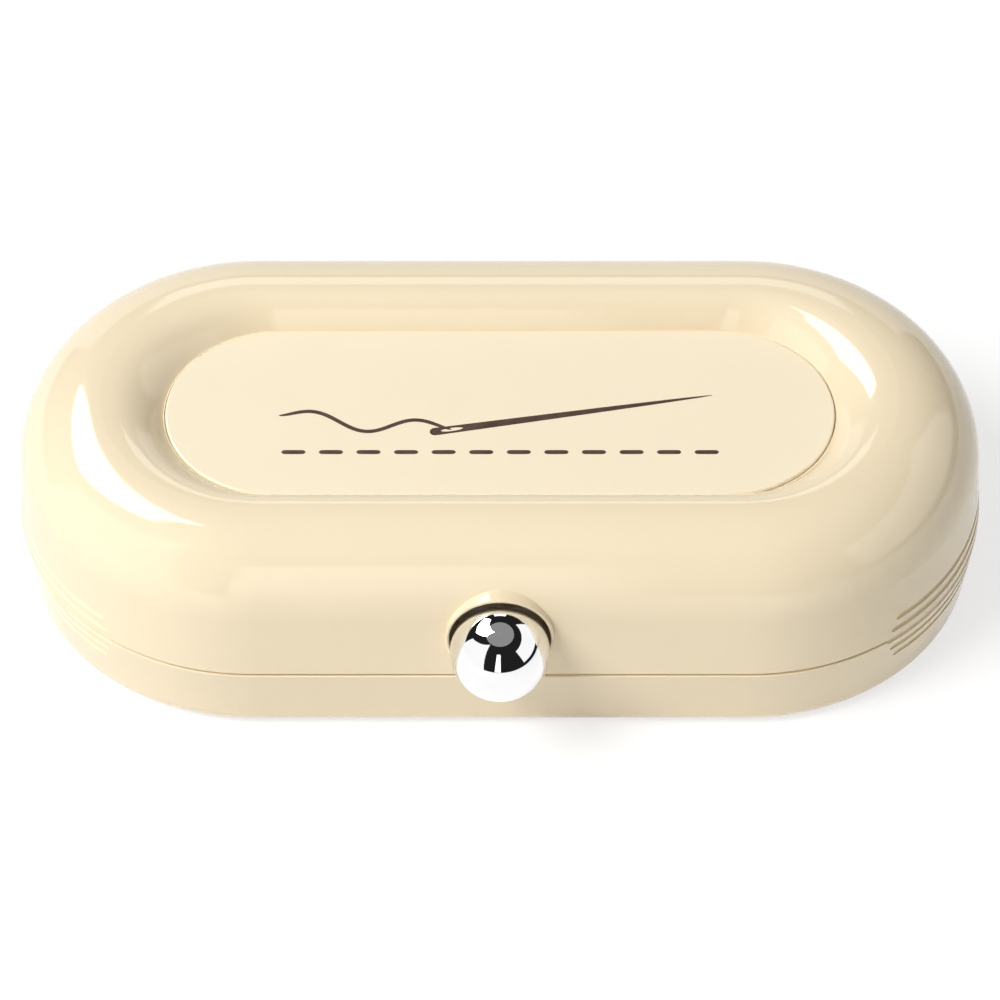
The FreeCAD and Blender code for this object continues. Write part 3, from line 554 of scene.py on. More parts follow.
class Board(NodeBoard):
    """Node board of one finish, with its shader and the patterns that drive it."""

    def __init__(self, name: str) -> None:
        """Start the material with a bare principled shader.

        Args:
            name: Name of the material.
        """
        self.material = bpy.data.materials.new(name)
        self.material.use_nodes = True
        super().__init__(self.material.node_tree)
        self.shader = self.tree.nodes.new("ShaderNodeBsdfPrincipled")
        self.add("ShaderNodeOutputMaterial", {"Surface": self.shader.outputs["BSDF"]})
        self.place = self.add("ShaderNodeTexCoord", output="Object")

    def give(self, values: dict[str, object]) -> None:
        """Join or set the shader's own sockets, by their names."""
        for name, value in values.items():
            self.feed(self.shader.inputs[name], value)

    def stretched(self, stretch: Point) -> Socket:
        """Object coordinates scaled along each axis."""
        return self.add("ShaderNodeMapping", {"Vector": self.place, "Scale": stretch})

    def noise(self, grain: Grain) -> Socket:
        """Cloudy noise as a value about 0.5."""
        joins = {"Vector": self.stretched(grain.stretch), "Scale": grain.scale, "Detail": grain.detail}
        return self.add("ShaderNodeTexNoise", joins, "Fac")

    def waves(self, scale: float, direction: str, stretch: Point) -> Socket:
        """Straight even bands across the object.

        Args:
            scale: Bands per metre, up to a constant of the texture.
            direction: Axis that the bands follow.
            stretch: Scale of the coordinates along each axis.

        Returns:
            The bands as a value from 0 to 1.
        """
        joins = {"Vector": self.stretched(stretch), "Scale": scale}
        return self.add("ShaderNodeTexWave", joins, "Fac", bands_direction=direction)

    def ramp(self, source: Socket, stops: Sequence[tuple[float, Colour]], blend: str = "LINEAR") -> Socket:
        """Colour that a value picks between stops.

        Args:
            source: Value that picks the colour.
            stops: Place and colour of each stop, two or more.
            blend: How the colour runs from stop to stop.

        Returns:
            The colour.
        """
        node = self.tree.nodes.new("ShaderNodeValToRGB")
        node.color_ramp.interpolation = blend
        elements = node.color_ramp.elements
        for index, (place, colour) in enumerate(stops):
            stop = elements[index] if index < len(elements) else elements.new(place)
            stop.position = place
            stop.color = (*colour, 1)
        self.feed(node.inputs["Fac"], source)
        return node.outputs["Color"]

    def spread(self, source: Socket, low: float, high: float) -> Socket:
        """Value spread between two ends.

        Args:
            source: Noise or bands.
            low: Value where the source is at the low stop or less.
            high: Value where the source is at the high stop or more.

        Returns:
            The spread value.
        """
        return self.add("ShaderNodeMapRange", {"Value": source, "From Min": LOW_STOP, "From Max": HIGH_STOP,
                                               "To Min": low, "To Max": high})

    def blended(self, first: Socket, second: Socket, share: float) -> Socket:
        """Sum of a share of the first value and the rest of the second."""
        return self.maths("MULTIPLY_ADD", first, share, self.maths("MULTIPLY", second, 1 - share))

    def attribute(self, name: str) -> Socket:
        """Value of an attribute that the mesh carries."""
        return self.add("ShaderNodeAttribute", output="Fac", attribute_name=name)

    def bump(self, pattern: Socket, relief: Relief) -> None:
        """Raise the surface by a pattern, over any bump already there.

        Args:
            pattern: Pattern of the height.
            relief: How far it is raised.
        """
        joins = {"Strength": relief.strength, "Distance": relief.height, "Height": pattern}
        normal = self.shader.inputs["Normal"]
        if normal.is_linked:
            joins["Normal"] = normal.links[0].from_socket
        self.feed(normal, self.add("ShaderNodeBump", joins))


@dataclass(frozen=True)
class Finish:
    """Finish of the box with its name and main colour."""

    name: str
    colour: Colour

    def stops(self, dark: float, light: float = 1.0, low: float = LOW_STOP,
              high: float = HIGH_STOP) -> list[tuple[float, Colour]]:
        """Darker and lighter stop of the main colour.

        Args:
            dark: Factor of the colour at the lower stop.
            light: Factor of the colour at the upper stop.
            low: Place of the lower stop.
            high: Place of the upper stop.

        Returns:
            Place and colour of both stops.
        """
        return [(low, shade(self.colour, dark)), (high, shade(self.colour, light))]

    def paint(self, board: Board) -> None:
        """Lay the finish on a bare board."""
        raise NotImplementedError

    def make(self) -> bpy.types.Material:
        """Make the material.

        Returns:
            The painted material.
        """
        board = Board(self.name)
        self.paint(board)
        return board.material


@dataclass(frozen=True)
class MouldedPlastic(Finish):
    """Moulded plastic with faint flow clouds, handling haze and orange peel."""

    roughness: float
    clouding: float = 0.02
    haze: float = 0.03
    peel: float = 0.03
    peel_scale: float = 700.0
    peel_height: float = 0.05 * MM
    clouds: Grain = Grain(38, 3, (0.5, 1, 1))
    handling: Grain = Grain(95, 5)
    swell: Grain = Grain(55, 1)
    swell_height: float = 0.4 * MM
    ior: float = 1.49

    def paint(self, board: Board) -> None:
        """Cloud the colour, haze the gloss and raise the peel.

        Args:
            board: Bare board.
        """
        haze = board.noise(self.handling)
        board.give({"Base Color": board.ramp(board.noise(self.clouds), self.stops(1 - self.clouding)),
                    "Roughness": board.spread(haze, self.roughness - self.haze, self.roughness + self.haze),
                    "IOR": self.ior})
        board.bump(board.noise(Grain(self.peel_scale)), Relief(self.peel, self.peel_height))
        board.bump(board.noise(self.swell), Relief(self.peel, self.swell_height))


@dataclass(frozen=True)
class MirrorPlate(Finish):
    """Bright plated metal with light finger smears."""

    roughness: float
    smear: float = 0.02
    dulling: float = 0.97
    smears: Grain = Grain(120, 6, (1, 1, 2.4))
    swell: Grain = Grain(60, 1)
    relief: Relief = Relief(0.02, 0.2 * MM)

    def paint(self, board: Board) -> None:
        """Smear the plate and let it swell slightly.

        Args:
            board: Bare board.
        """
        smears = board.noise(self.smears)
        board.give({"Base Color": board.ramp(smears, self.stops(self.dulling)), "Metallic": 1.0,
                    "Roughness": board.spread(smears, self.roughness, self.roughness + self.smear)})
        board.bump(board.noise(self.swell), self.relief)


@dataclass(frozen=True)
class DrawnSteel(Finish):
    """Steel drawn or rolled along one axis, with fine lines that way."""

    roughness: float
    lines: Grain
    darkening: float = 0.8
    smoother: float = 0.06
    rougher: float = 0.08
    relief: Relief = Relief(0.15, 0.02 * MM)

    def paint(self, board: Board) -> None:
        """Draw the lines in colour, gloss and relief.

        Args:
            board: Bare board.
        """
        lines = board.noise(self.lines)
        gloss = board.spread(lines, self.roughness - self.smoother, self.roughness + self.rougher)
        board.give({"Base Color": board.ramp(lines, self.stops(self.darkening)), "Metallic": 1.0,
                    "Roughness": gloss})
        board.bump(lines, self.relief)


@dataclass(frozen=True)
class SpunThread(Finish):
    """Cotton thread whose plies twist along it, with a soft sheen."""

    plies: float = 3.0
    lay: float = 1.3 * MM
    ply_swing: float = 0.2
    ply_middle: float = 0.5
    fibres: Grain = Grain(2600, 3, (1, 1, 0.5))
    fibre_share: float = 0.25
    fuzz: Grain = Grain(160, 2)
    fuzz_share: float = 0.3
    # dark and light: painted shade in the grooves between plies and painted highlight on their crests.
    dark: float = 0.55
    light: float = 1.08
    dark_stop: float = 0.28
    light_stop: float = 0.66
    roughness: float = 0.72
    sheen: float = 0.35
    sheen_roughness: float = 0.4
    relief: Relief = Relief(0.7, 0.12 * MM)

    def paint(self, board: Board) -> None:
        """Twist the plies and fray them, painting shade in the grooves between plies and a highlight on their
        crests.

        Args:
            board: Bare board.
        """
        along = board.maths("DIVIDE", board.attribute("along"), self.lay)
        around = board.maths("MULTIPLY", board.attribute("around"), self.plies)
        turn = board.maths("MULTIPLY", board.maths("ADD", along, around), math.tau)
        swing = board.maths("MULTIPLY", board.maths("SINE", turn), self.ply_swing)
        ply = board.maths("ADD", swing, self.ply_middle)
        # Painted shade and highlight: darker in the ply grooves, lighter on the crests, mixed with random fuzz
        # tone.
        ply_shade_and_fuzz = board.blended(board.noise(self.fuzz), ply, self.fuzz_share)
        stops = self.stops(self.dark, self.light, self.dark_stop, self.light_stop)
        board.give({"Base Color": board.ramp(ply_shade_and_fuzz, stops), "Roughness": self.roughness,
                    "Sheen Weight": self.sheen, "Sheen Roughness": self.sheen_roughness})
        fibres = board.maths("MULTIPLY", board.noise(self.fibres), self.fibre_share)
        board.bump(board.maths("ADD", ply, fibres), self.relief)


@dataclass(frozen=True)
class WovenCotton(Finish):
    """Plain woven cotton with slubs and a dusty sheen."""

    yarns: float = 420.0
    across: float = 0.25
    weave_share: float = 0.33
    slubs: Grain = Grain(240, 4, (1, 1, 2))
    slub_share: float = 0.5
    # dark and light: painted shade in the hollows of the weave and painted highlight on the yarn tops.
    dark: float = 0.6
    light: float = 1.15
    light_stop: float = 0.72
    smooth: float = 0.78
    rough: float = 0.92
    sheen: float = 0.4
    sheen_roughness: float = 0.5
    weave_relief: Relief = Relief(0.55, 0.12 * MM)
    slub_relief: Relief = Relief(0.25, 0.4 * MM)

    def paint(self, board: Board) -> None:
        """Weave the yarns and thicken some of them, painting shade in the hollows between yarns and a highlight on
        their tops.

        Args:
            board: Bare board.
        """
        bands = []
        for axis in "XYZ":
            stretch = tuple(1.0 if other == axis else self.across for other in "XYZ")
            bands.append(board.waves(self.yarns, axis, stretch))
        total = board.maths("ADD", board.maths("ADD", bands[0], bands[1]), bands[2])
        weave = board.maths("MULTIPLY", total, self.weave_share)
        slubs = board.noise(self.slubs)
        # Painted shade and highlight from the weave, mixed half and half with random slub tone.
        level = board.blended(slubs, weave, self.slub_share)
        board.give({"Base Color": board.ramp(level, self.stops(self.dark, self.light, high=self.light_stop)),
                    "Roughness": board.spread(slubs, self.smooth, self.rough),
                    "Sheen Weight": self.sheen, "Sheen Roughness": self.sheen_roughness})
        board.bump(weave, self.weave_relief)
        board.bump(slubs, self.slub_relief)


@dataclass(frozen=True)
class HornPlate(Finish):
    """Polished horn-brown plastic with drawn-out streaks."""

    streak: Colour
    flow: Grain = Grain(240, 5, (1, 3.2, 1))
    streak_stop: float = 0.38
    plain_stop: float = 0.64
    wear: Grain = Grain(420, 3)
    smooth: float = 0.16
    rough: float = 0.3
    ior: float = 1.52
    peel: Grain = Grain(700)
    relief: Relief = Relief(0.05, 0.05 * MM)

    def paint(self, board: Board) -> None:
        """Streak the colour and wear the polish.

        Args:
            board: Bare board.
        """
        stops = [(self.streak_stop, self.streak), (self.plain_stop, self.colour)]
        board.give({"Base Color": board.ramp(board.noise(self.flow), stops), "IOR": self.ior,
                    "Roughness": board.spread(board.noise(self.wear), self.smooth, self.rough)})
        board.bump(board.noise(self.peel), self.relief)


@dataclass(frozen=True)
class BeadedSteel(Finish):
    """Polished pin steel with glass beads, told apart by the attributes of the mesh."""

    beads: tuple[Colour, ...]
    lines: Grain = Grain(1400, 2, (1, 1, 0.1))
    darkening: float = 0.85
    smooth: float = 0.12
    rough: float = 0.22

    def paint(self, board: Board) -> None:
        """Part the beads from the steel.

        Args:
            board: Bare board.
        """
        head = board.attribute("head")
        stops = [(index / len(self.beads), bead) for index, bead in enumerate(self.beads)]
        glass = board.ramp(board.attribute("tint"), stops, "CONSTANT")
        lines = board.noise(self.lines)
        metal = board.ramp(lines, self.stops(self.darkening))
        colour = board.add("ShaderNodeMix", {"Factor": head, 6: metal, 7: glass}, 2, data_type="RGBA")
        board.give({"Base Color": colour, "Metallic": board.maths("MULTIPLY_ADD", head, -1.0, 1.0),
                    "Roughness": board.spread(lines, self.smooth, self.rough)})


@dataclass(frozen=True)
class PadPrint(Finish):
    """Thin printed ink, slightly uneven."""

    film: Grain = Grain(420, 4)
    thick: float = 0.85
    thin: float = 1.15
    smooth: float = 0.32
    rough: float = 0.45
    grit: Grain = Grain(1800)
    relief: Relief = Relief(0.04, 0.03 * MM)

    def paint(self, board: Board) -> None:
        """Lay the film unevenly.

        Args:
            board: Bare board.
        """
        film = board.noise(self.film)
        board.give({"Base Color": board.ramp(film, self.stops(self.thick, self.thin)),
                    "Roughness": board.spread(film, self.smooth, self.rough)})
        board.bump(board.noise(self.grit), self.relief)


class Finishes:
    """Every finish of the box, made once."""

    def __init__(self) -> None:
        """Make the materials."""
        cream = (0.90, 0.765, 0.54)
        ivory = linear(222, 210, 184)
        self.case = MouldedPlastic("case_cream", cream, 0.08, haze=0.015, peel=0.015).make()
        # Painted light: the panel's colour is lighter and paler than the case's, standing in for the stronger light
        # and sheen on its top.
        self.panel = MouldedPlastic("panel_cream", (0.95, 0.835, 0.62), 0.24, 0.012, peel=0.0).make()
        self.chrome = MirrorPlate("ball_chrome", (0.92, 0.92, 0.93), 0.02).make()
        upright = Grain(900, 3, (1, 1, 0.06))
        self.steel = DrawnSteel("latch_steel", (0.62, 0.62, 0.63), 0.28, upright).make()
        self.tray = MouldedPlastic("tray_ivory", ivory, 0.46, peel=0.25, peel_scale=1500).make()
        self.spool = MouldedPlastic("spool_white", linear(236, 234, 226), 0.28).make()
        self.nickel = MirrorPlate("thimble_nickel", (0.72, 0.70, 0.66), 0.16, 0.12).make()
        self.magnet = MouldedPlastic("magnet_black", linear(44, 44, 47), 0.62, 0.25, peel=0.3).make()
        self.cotton = WovenCotton("cushion_red", linear(168, 38, 40)).make()
        self.horn = HornPlate("button_shell", linear(104, 68, 44), linear(58, 34, 22)).make()
        beads = (linear(196, 40, 44), linear(38, 84, 150), linear(236, 196, 60), linear(240, 240, 236))
        self.pins = BeadedSteel("pin_steel", (0.66, 0.66, 0.67), beads).make()
        self.ink = PadPrint("motif_brown", linear(74, 48, 34)).make()
        screen = [(224, 219, 208), (38, 38, 41), (44, 66, 122), (166, 36, 42), (104, 70, 46), (128, 132, 128)]
        self.threads = [SpunThread(f"thread_{index}", linear(*colour)).make()
                        for index, colour in enumerate(screen, start=1)]
        self.sewing = SpunThread("cushion_thread", linear(36, 82, 48)).make()


@dataclass(frozen=True)
class Card:
    """Glowing card round the box that only mirrors and gloss see.

    Its lower and its upper edge each run from one bearing and height to another, in degrees.
    """

    name: str
    lower: tuple[Spot, Spot]
    upper: tuple[Spot, Spot]
    glow: float
    distance: float = 2.4
    facets: int = 12


@dataclass
class Studio:
    """White table, soft light and camera, with dark walls and softboxes that only shine on gloss."""

    floor_half: float = 4.0
    floor_level: float = -0.05 * MM
    table_colour: float = 0.90
    table_glow: float = 1.15
    table_glow_share: float = 0.6
    ambient: float = 0.30
    background: float = 1.0
    key_strength: float = 0.96
    key_bearing: float = 208.0
    key_height: float = 53.0
    key_distance: float = 2.4
    key_size: float = 1.3
    target: Point = (0.0, 0.0, 0.0155)
    camera_bearing: float = -90.0
    camera_height: float = 47.43
    camera_distance: float = 1.147
    lens: float = 216.8
    sensor: float = 36.0
    clip_end: float = 30.0
    cards: tuple[Card, ...] = (
        Card("studio_walls", ((0, 0), (360, 0)), ((0, 60), (360, 60)), 0.015, 3.4, 48),
        Card("studio_ceiling", ((0, 60), (360, 60)), ((0, 89.5), (360, 89.5)), 0.28, 3.4, 48),
        Card("softbox_left", ((122, 34.5), (160, 37)), ((113, 46), (150, 72)), 9.0),
        Card("softbox_left_wing", ((160, 37), (187, 62)), ((150, 72), (160, 78)), 9.0),
        Card("softbox_right", ((-36, 7), (40, 9)), ((-42, 38), (44, 47)), 1.05),
        Card("sheet_front_left", ((167, 0), (236, 0)), ((172, 30), (226, 58)), 1.05, 2.6),
        Card("sheet_back", ((62, 0), (122, 0)), ((66, 24), (118, 24)), 1.0, 2.6),
        Card("sheet_back_top", ((78, 30), (102, 30)), ((79, 40), (101, 40)), 2.4, 2.6),
        Card("sheet_front", ((-101, 1), (-88.5, 1)), ((-99, 42), (-88.5, 42)), 1.5, 2.6),
    )

    def towards(self, bearing: float, height: float) -> Vector:
        """Unit direction by bearing from +X and height above the table, in degrees."""
        turn, rise = math.radians(bearing), math.radians(height)
        return Vector((math.cos(turn) * math.cos(rise), math.sin(turn) * math.cos(rise), math.sin(rise)))

    def aimed(self, data: bpy.types.ID, way: Vector, distance: float) -> bpy.types.Object:
        """Lamp or camera that looks at the target.

        Args:
            data: Lamp or camera.
            way: Unit direction of its place from the target.
            distance: How far away it stands.

        Returns:
            Its object.
        """
        thing = added(data.name, data)
        thing.location = Vector(self.target) + way * distance
        thing.rotation_euler = way.to_track_quat("Z", "Y").to_euler()
        return thing

    def staged(self, name: str, points: Sequence[Point],
               faces: Sequence[tuple[int, ...]]) -> tuple[bpy.types.Object, NodeBoard]:
        """Piece of the studio with a bare material.

        Args:
            name: Name of the piece and its material.
            points: Places of its points.
            faces: Rings of points.

        Returns:
            The piece and the board of its material.
        """
        mesh = mesh_of(name, points, faces=faces)
        material = bpy.data.materials.new(name)
        material.use_nodes = True
        mesh.materials.append(material)
        piece = added(name, mesh)
        return piece, NodeBoard(material.node_tree)

    def seen_directly(self, board: NodeBoard) -> Socket:
        """Value that is 1 for the camera, for mirrors and for glass, and 0 for light that falls on things.

        Args:
            board: Board to add the test to.

        Returns:
            The test's value.
        """
        camera, gloss, glass = (board.add("ShaderNodeLightPath", output=f"Is {kind} Ray")
                                for kind in ("Camera", "Glossy", "Transmission"))
        return board.maths("MAXIMUM", board.maths("MAXIMUM", camera, gloss), glass)

    def light_world(self) -> None:
        """Even light from all round, in front of a white background."""
        world = bpy.data.worlds.new("studio_world")
        bpy.context.scene.world = world
        world.use_nodes = True
        board = NodeBoard(world.node_tree)
        lit, white = (board.add("ShaderNodeBackground", {"Color": WHITE, "Strength": strength})
                      for strength in (self.ambient, self.background))
        mix = board.add("ShaderNodeMixShader", {"Fac": self.seen_directly(board), 1: lit, 2: white})
        board.add("ShaderNodeOutputWorld", {"Surface": mix})

    def lay_table(self) -> None:
        """White table top that keeps the box's soft shadow."""
        half, level = self.floor_half, self.floor_level
        corners = [(-half, -half, level), (half, -half, level), (half, half, level), (-half, half, level)]
        _, board = self.staged("studio_table", corners, [(0, 1, 2, 3)])
        paper = board.add("ShaderNodeBsdfDiffuse", {"Color": (*(self.table_colour,) * 3, 1)})
        glow = board.add("ShaderNodeEmission", {"Strength": self.table_glow})
        share = board.maths("MULTIPLY", self.seen_directly(board), self.table_glow_share)
        mix = board.add("ShaderNodeMixShader", {"Fac": share, 1: paper, 2: glow})
        board.add("ShaderNodeOutputMaterial", {"Surface": mix})

    def hang_key(self) -> None:
        """Large soft lamp on the near left that lights the box without showing in its gloss."""
        lamp = bpy.data.lights.new("studio_key", "AREA")
        lamp.shape = "DISK"
        lamp.size = self.key_size
        lamp.energy = self.key_strength * math.pi ** 2 * self.key_distance ** 2
        key = self.aimed(lamp, self.towards(self.key_bearing, self.key_height), self.key_distance)
        key.visible_glossy = False

    def hang(self, card: Card) -> None:
        """Hang one card, unseen by the camera and by matt surfaces.

        Args:
            card: Card to hang.
        """
        shares = [step / card.facets for step in range(card.facets + 1)]
        points = []
        for rise in shares:
            for side in shares:
                low, high = ([start + (end - start) * side for start, end in zip(*edge)]
                             for edge in (card.lower, card.upper))
                bearing, height = (first + (last - first) * rise for first, last in zip(low, high))
                points.append(self.towards(bearing, height) * card.distance)
        stride = len(shares)
        corners = [row * stride + column for row in range(card.facets) for column in range(card.facets)]
        faces = [(corner, corner + 1, corner + stride + 1, corner + stride) for corner in corners]
        hung, board = self.staged(card.name, points, faces)
        shine = board.add("ShaderNodeEmission", {"Strength": card.glow})
        board.add("ShaderNodeOutputMaterial", {"Surface": shine})
        for ray in ("camera", "diffuse", "transmission", "shadow"):
            setattr(hung, f"visible_{ray}", False)

    def stand_camera(self) -> None:
        """Camera at the viewing angle of the box."""
        data = bpy.data.cameras.new("studio_camera")
        data.lens = self.lens
        data.sensor_width = self.sensor
        data.clip_end = self.clip_end
        way = self.towards(self.camera_bearing, self.camera_height)
        bpy.context.scene.camera = self.aimed(data, way, self.camera_distance)

    def build(self) -> None:
        """Set up the whole studio."""
        bpy.context.scene.view_settings.view_transform = "Standard"
        self.light_world()
        self.lay_table()
        self.hang_key()
        for card in self.cards:
            self.hang(card)
        self.stand_camera()


@dataclass
class Case:
    """Hinged shells, inlay panel, ball latch and insert, as the frame has them."""

    finishes: Finishes

    def build(self) -> None:
        """Dress the shells, panel, latch, hinge and insert."""
        latch = ["hinge_pin_left", "hinge_pin_right", "latch_plunger", "latch_hook", "latch_clip"]
        insert = ["insert_tray", "tool_tub", "button_cup", "cushion_cup", "spool_pegs", "thimble_post"]
        coats = [(["base_shell", "lid_shell"], self.finishes.case), (["lid_panel"], self.finishes.panel),
                 (["latch_ball"], self.finishes.chrome), (latch, self.finishes.steel),
                 (insert, self.finishes.tray), (["needle_magnet"], self.finishes.magnet)]
        for nodes, finish in coats:
            for name in nodes:
                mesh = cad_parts[name].data
                mesh.materials.clear()
                mesh.materials.append(finish)
                LOG.info("dressed %s with %s", name, finish.name)


@dataclass
class LidMotif:
    """Printed needle with a waving thread over a row of running stitches, on the panel."""

    finishes: Finishes
    film: float = 0.06 * MM
    sink: float = 0.02 * MM
    needle_eye: Spot = (-9.0 * MM, -4.6 * MM)
    needle_tip: Spot = (42.0 * MM, 4.6 * MM)
    needle_half_width: float = 0.95 * MM
    needle_taper: float = 0.55
    needle_steps: int = 40
    eye_half_length: float = 2.1 * MM
    eye_half_width: float = 0.42 * MM
    eye_steps: int = 28
    thread_width: float = 0.85 * MM
    thread_end: float = -41.5 * MM
    thread_drop: float = 1.0 * MM
    thread_steps: int = 120
    wave_height: float = 2.3 * MM
    waves: float = 1.5
    stitch_count: int = 12
    stitch_pitch: float = 7.0 * MM
    stitch_length: float = 4.6 * MM
    stitch_width: float = 1.0 * MM
    stitch_row: float = -10.4 * MM
    stitch_points: int = 17
    end_power: float = 8.0
    end_rest: float = 0.0005

    def lifted(self, mesh: bpy.types.Mesh) -> bpy.types.Mesh:
        """Mesh raised from about z = 0 so that the ink stands on the panel.

        Args:
            mesh: Mesh to move.

        Returns:
            The same mesh.
        """
        ground = Extent.of("lid_panel").high.z
        mesh.transform(Matrix.Translation((0, 0, ground - self.sink + self.film / 2)))
        return mesh

    def needle_outline(self) -> list[Vector]:
        """Draw the needle in its own frame, from the eye's end at 0 along +X.

        Returns:
            The outline's corners.
        """
        length = (Vector(self.needle_tip) - Vector(self.needle_eye)).length + self.eye_half_length
        upper = []
        for step in range(self.needle_steps + 1):
            share = (1 - math.cos(math.pi * step / self.needle_steps)) / 2
            round_end = math.sqrt(max(0.0, 1 - max(0.0, 1 - share * length / self.needle_half_width) ** 2))
            half = self.needle_half_width * round_end * (1 - share) ** self.needle_taper
            upper.append(Vector((share * length, half)))
        return upper + [Vector((point.x, -point.y)) for point in reversed(upper[1:-1])]

    def needle(self) -> bpy.types.Mesh:
        """Cut the flat needle with its open eye.

        Returns:
            The needle about z = 0.
        """
        name = "lid_motif_needle"
        curve = bpy.data.curves.new(name, "CURVE")
        curve.dimensions = "2D"
        curve.fill_mode = "BOTH"
        curve.extrude = self.film / 2
        way = (Vector(self.needle_tip) - Vector(self.needle_eye)).normalized()
        start = Vector(self.needle_eye) - way * (2 * self.eye_half_length)
        eye = []
        for step in range(self.eye_steps):
            turn = math.tau * step / self.eye_steps
            eye.append(Vector((2 * self.eye_half_length + self.eye_half_length * math.cos(turn),
                               self.eye_half_width * math.sin(turn))))
        for outline in (self.needle_outline(), eye):
            spline = curve.splines.new("POLY")
            spline.points.add(len(outline) - 1)
            spline.use_cyclic_u = True
            for spot, point in zip(spline.points, outline):
                place = start + way * point.x + Vector((-way.y, way.x)) * point.y
                spot.co = (place.x, place.y, 0, 1)
        holder = bpy.data.objects.new(name, curve)
        mesh = bpy.data.meshes.new_from_object(holder)
        bpy.data.objects.remove(holder)
        mesh.name = name
        return closed(mesh)

    def thread_line(self) -> bpy.types.Mesh:
        """Run the thread's middle line in waves from the needle's eye to the far end.

        Returns:
            The line as a mesh of edges.
        """
        eye = Vector(self.needle_eye)
        run = self.thread_end - eye.x
        points = []
        for step in range(self.thread_steps + 1):
            share = step / self.thread_steps
            swell = self.wave_height * math.sqrt(max(0.0, math.sin(math.pi * share)))
            swing = math.sin(math.tau * self.waves * share) * swell
            points.append((eye.x + run * share, eye.y * (1 - share) + swing - share * self.thread_drop, 0))
        return mesh_of("lid_motif_thread", points, [(step, step + 1) for step in range(self.thread_steps)])

    def tapered(self, grower: Grower) -> Socket:
        """Share of a stroke's width along it, full in the middle and round at its ends.

        Args:
            grower: Tree to work in.

        Returns:
            The share at each point.
        """
        off = grower.maths("MULTIPLY_ADD", grower.along(), 2.0, -1.0)
        fall = grower.maths("POWER", grower.maths("ABSOLUTE", off), self.end_power)
        return grower.maths("SQRT", grower.maths("SUBTRACT", 1.0 + self.end_rest, fall))

    def stroke_grower(self) -> Grower:
        """Tree that turns a line of edges into a printed stroke."""
        grower = Grower("printed_stroke", ["Width", "Film"])
        return grower.end(grower.ribbon(grower.edges(), self.tapered(grower)))

    def stitch_grower(self) -> Grower:
        """Make the tree that lays stitches in a row.

        Returns:
            The tree.
        """
        grower = Grower("printed_stitches", ["Pitch", "Length", "Width", "Film", "Row"], ["Count"])
        half = grower.maths("MULTIPLY", grower.given("Length"), 0.5)
        start = grower.vector(grower.maths("MULTIPLY", half, -1.0))
        line = grower.line(grower.vector(half), self.stitch_points, start)
        dash = grower.ribbon(line, self.tapered(grower))
        first = grower.vector(grower.first_of_row(), grower.given("Row"))
        return grower.end(grower.row(dash, first, grower.vector(grower.given("Pitch"))))

    def build(self) -> None:
        """Print the motif on the panel."""
        ink = self.finishes.ink
        thread = self.stroke_grower().grow(
            "lid_motif_thread", {"Width": self.thread_width, "Film": self.film}, ink, self.thread_line())
        stitches = self.stitch_grower().grow("lid_motif_stitches", {
            "Pitch": self.stitch_pitch, "Length": self.stitch_length, "Width": self.stitch_width,
            "Film": self.film, "Row": self.stitch_row, "Count": self.stitch_count}, ink)
        for mesh in (self.needle(), thread, stitches):
            put(self.lifted(mesh), ink, Body.LID.value)


@dataclass
class LatchSpring:
    """Coil spring behind the ball, which gives way as the ball is pressed."""

    finishes: Finishes
    wire_radius: float = 0.35 * MM
    wire_sides: int = 12
    turns: float = 5.0
    turn_steps: int = 40
    travel: float = 3.0 * MM

    def build(self) -> None:
        """Wind the spring and set it on the lid."""
        room = Extent.of("latch_spring")
        grower = Grower("coil_spring", ["Turns", "Radius", "Rise", "Wire"])
        spiral = grower.add("GeometryNodeCurveSpiral", {
            "Resolution": self.turn_steps, "Rotations": grower.given("Turns"),
            "Start Radius": grower.given("Radius"), "End Radius": grower.given("Radius"),
            "Height": grower.given("Rise"), "Reverse": True})
        grower.end(grower.tube(spiral, grower.given("Wire"), self.wire_sides))
        mesh = grower.grow("latch_spring_coil", {
            "Turns": self.turns, "Radius": room.size.x / 2 - self.wire_radius,
            "Rise": room.size.y - 2 * self.wire_radius, "Wire": self.wire_radius}, self.finishes.steel)
        start = Vector((room.middle.x, room.low.y + self.wire_radius, room.middle.z))
        turn = Matrix.Rotation(math.radians(-90), 4, "X")
        mesh.transform(Matrix.Translation(start) @ turn)
        spring = put(mesh, self.finishes.steel, Body.LID.value, ["latch_spring"])
        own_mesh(spring)


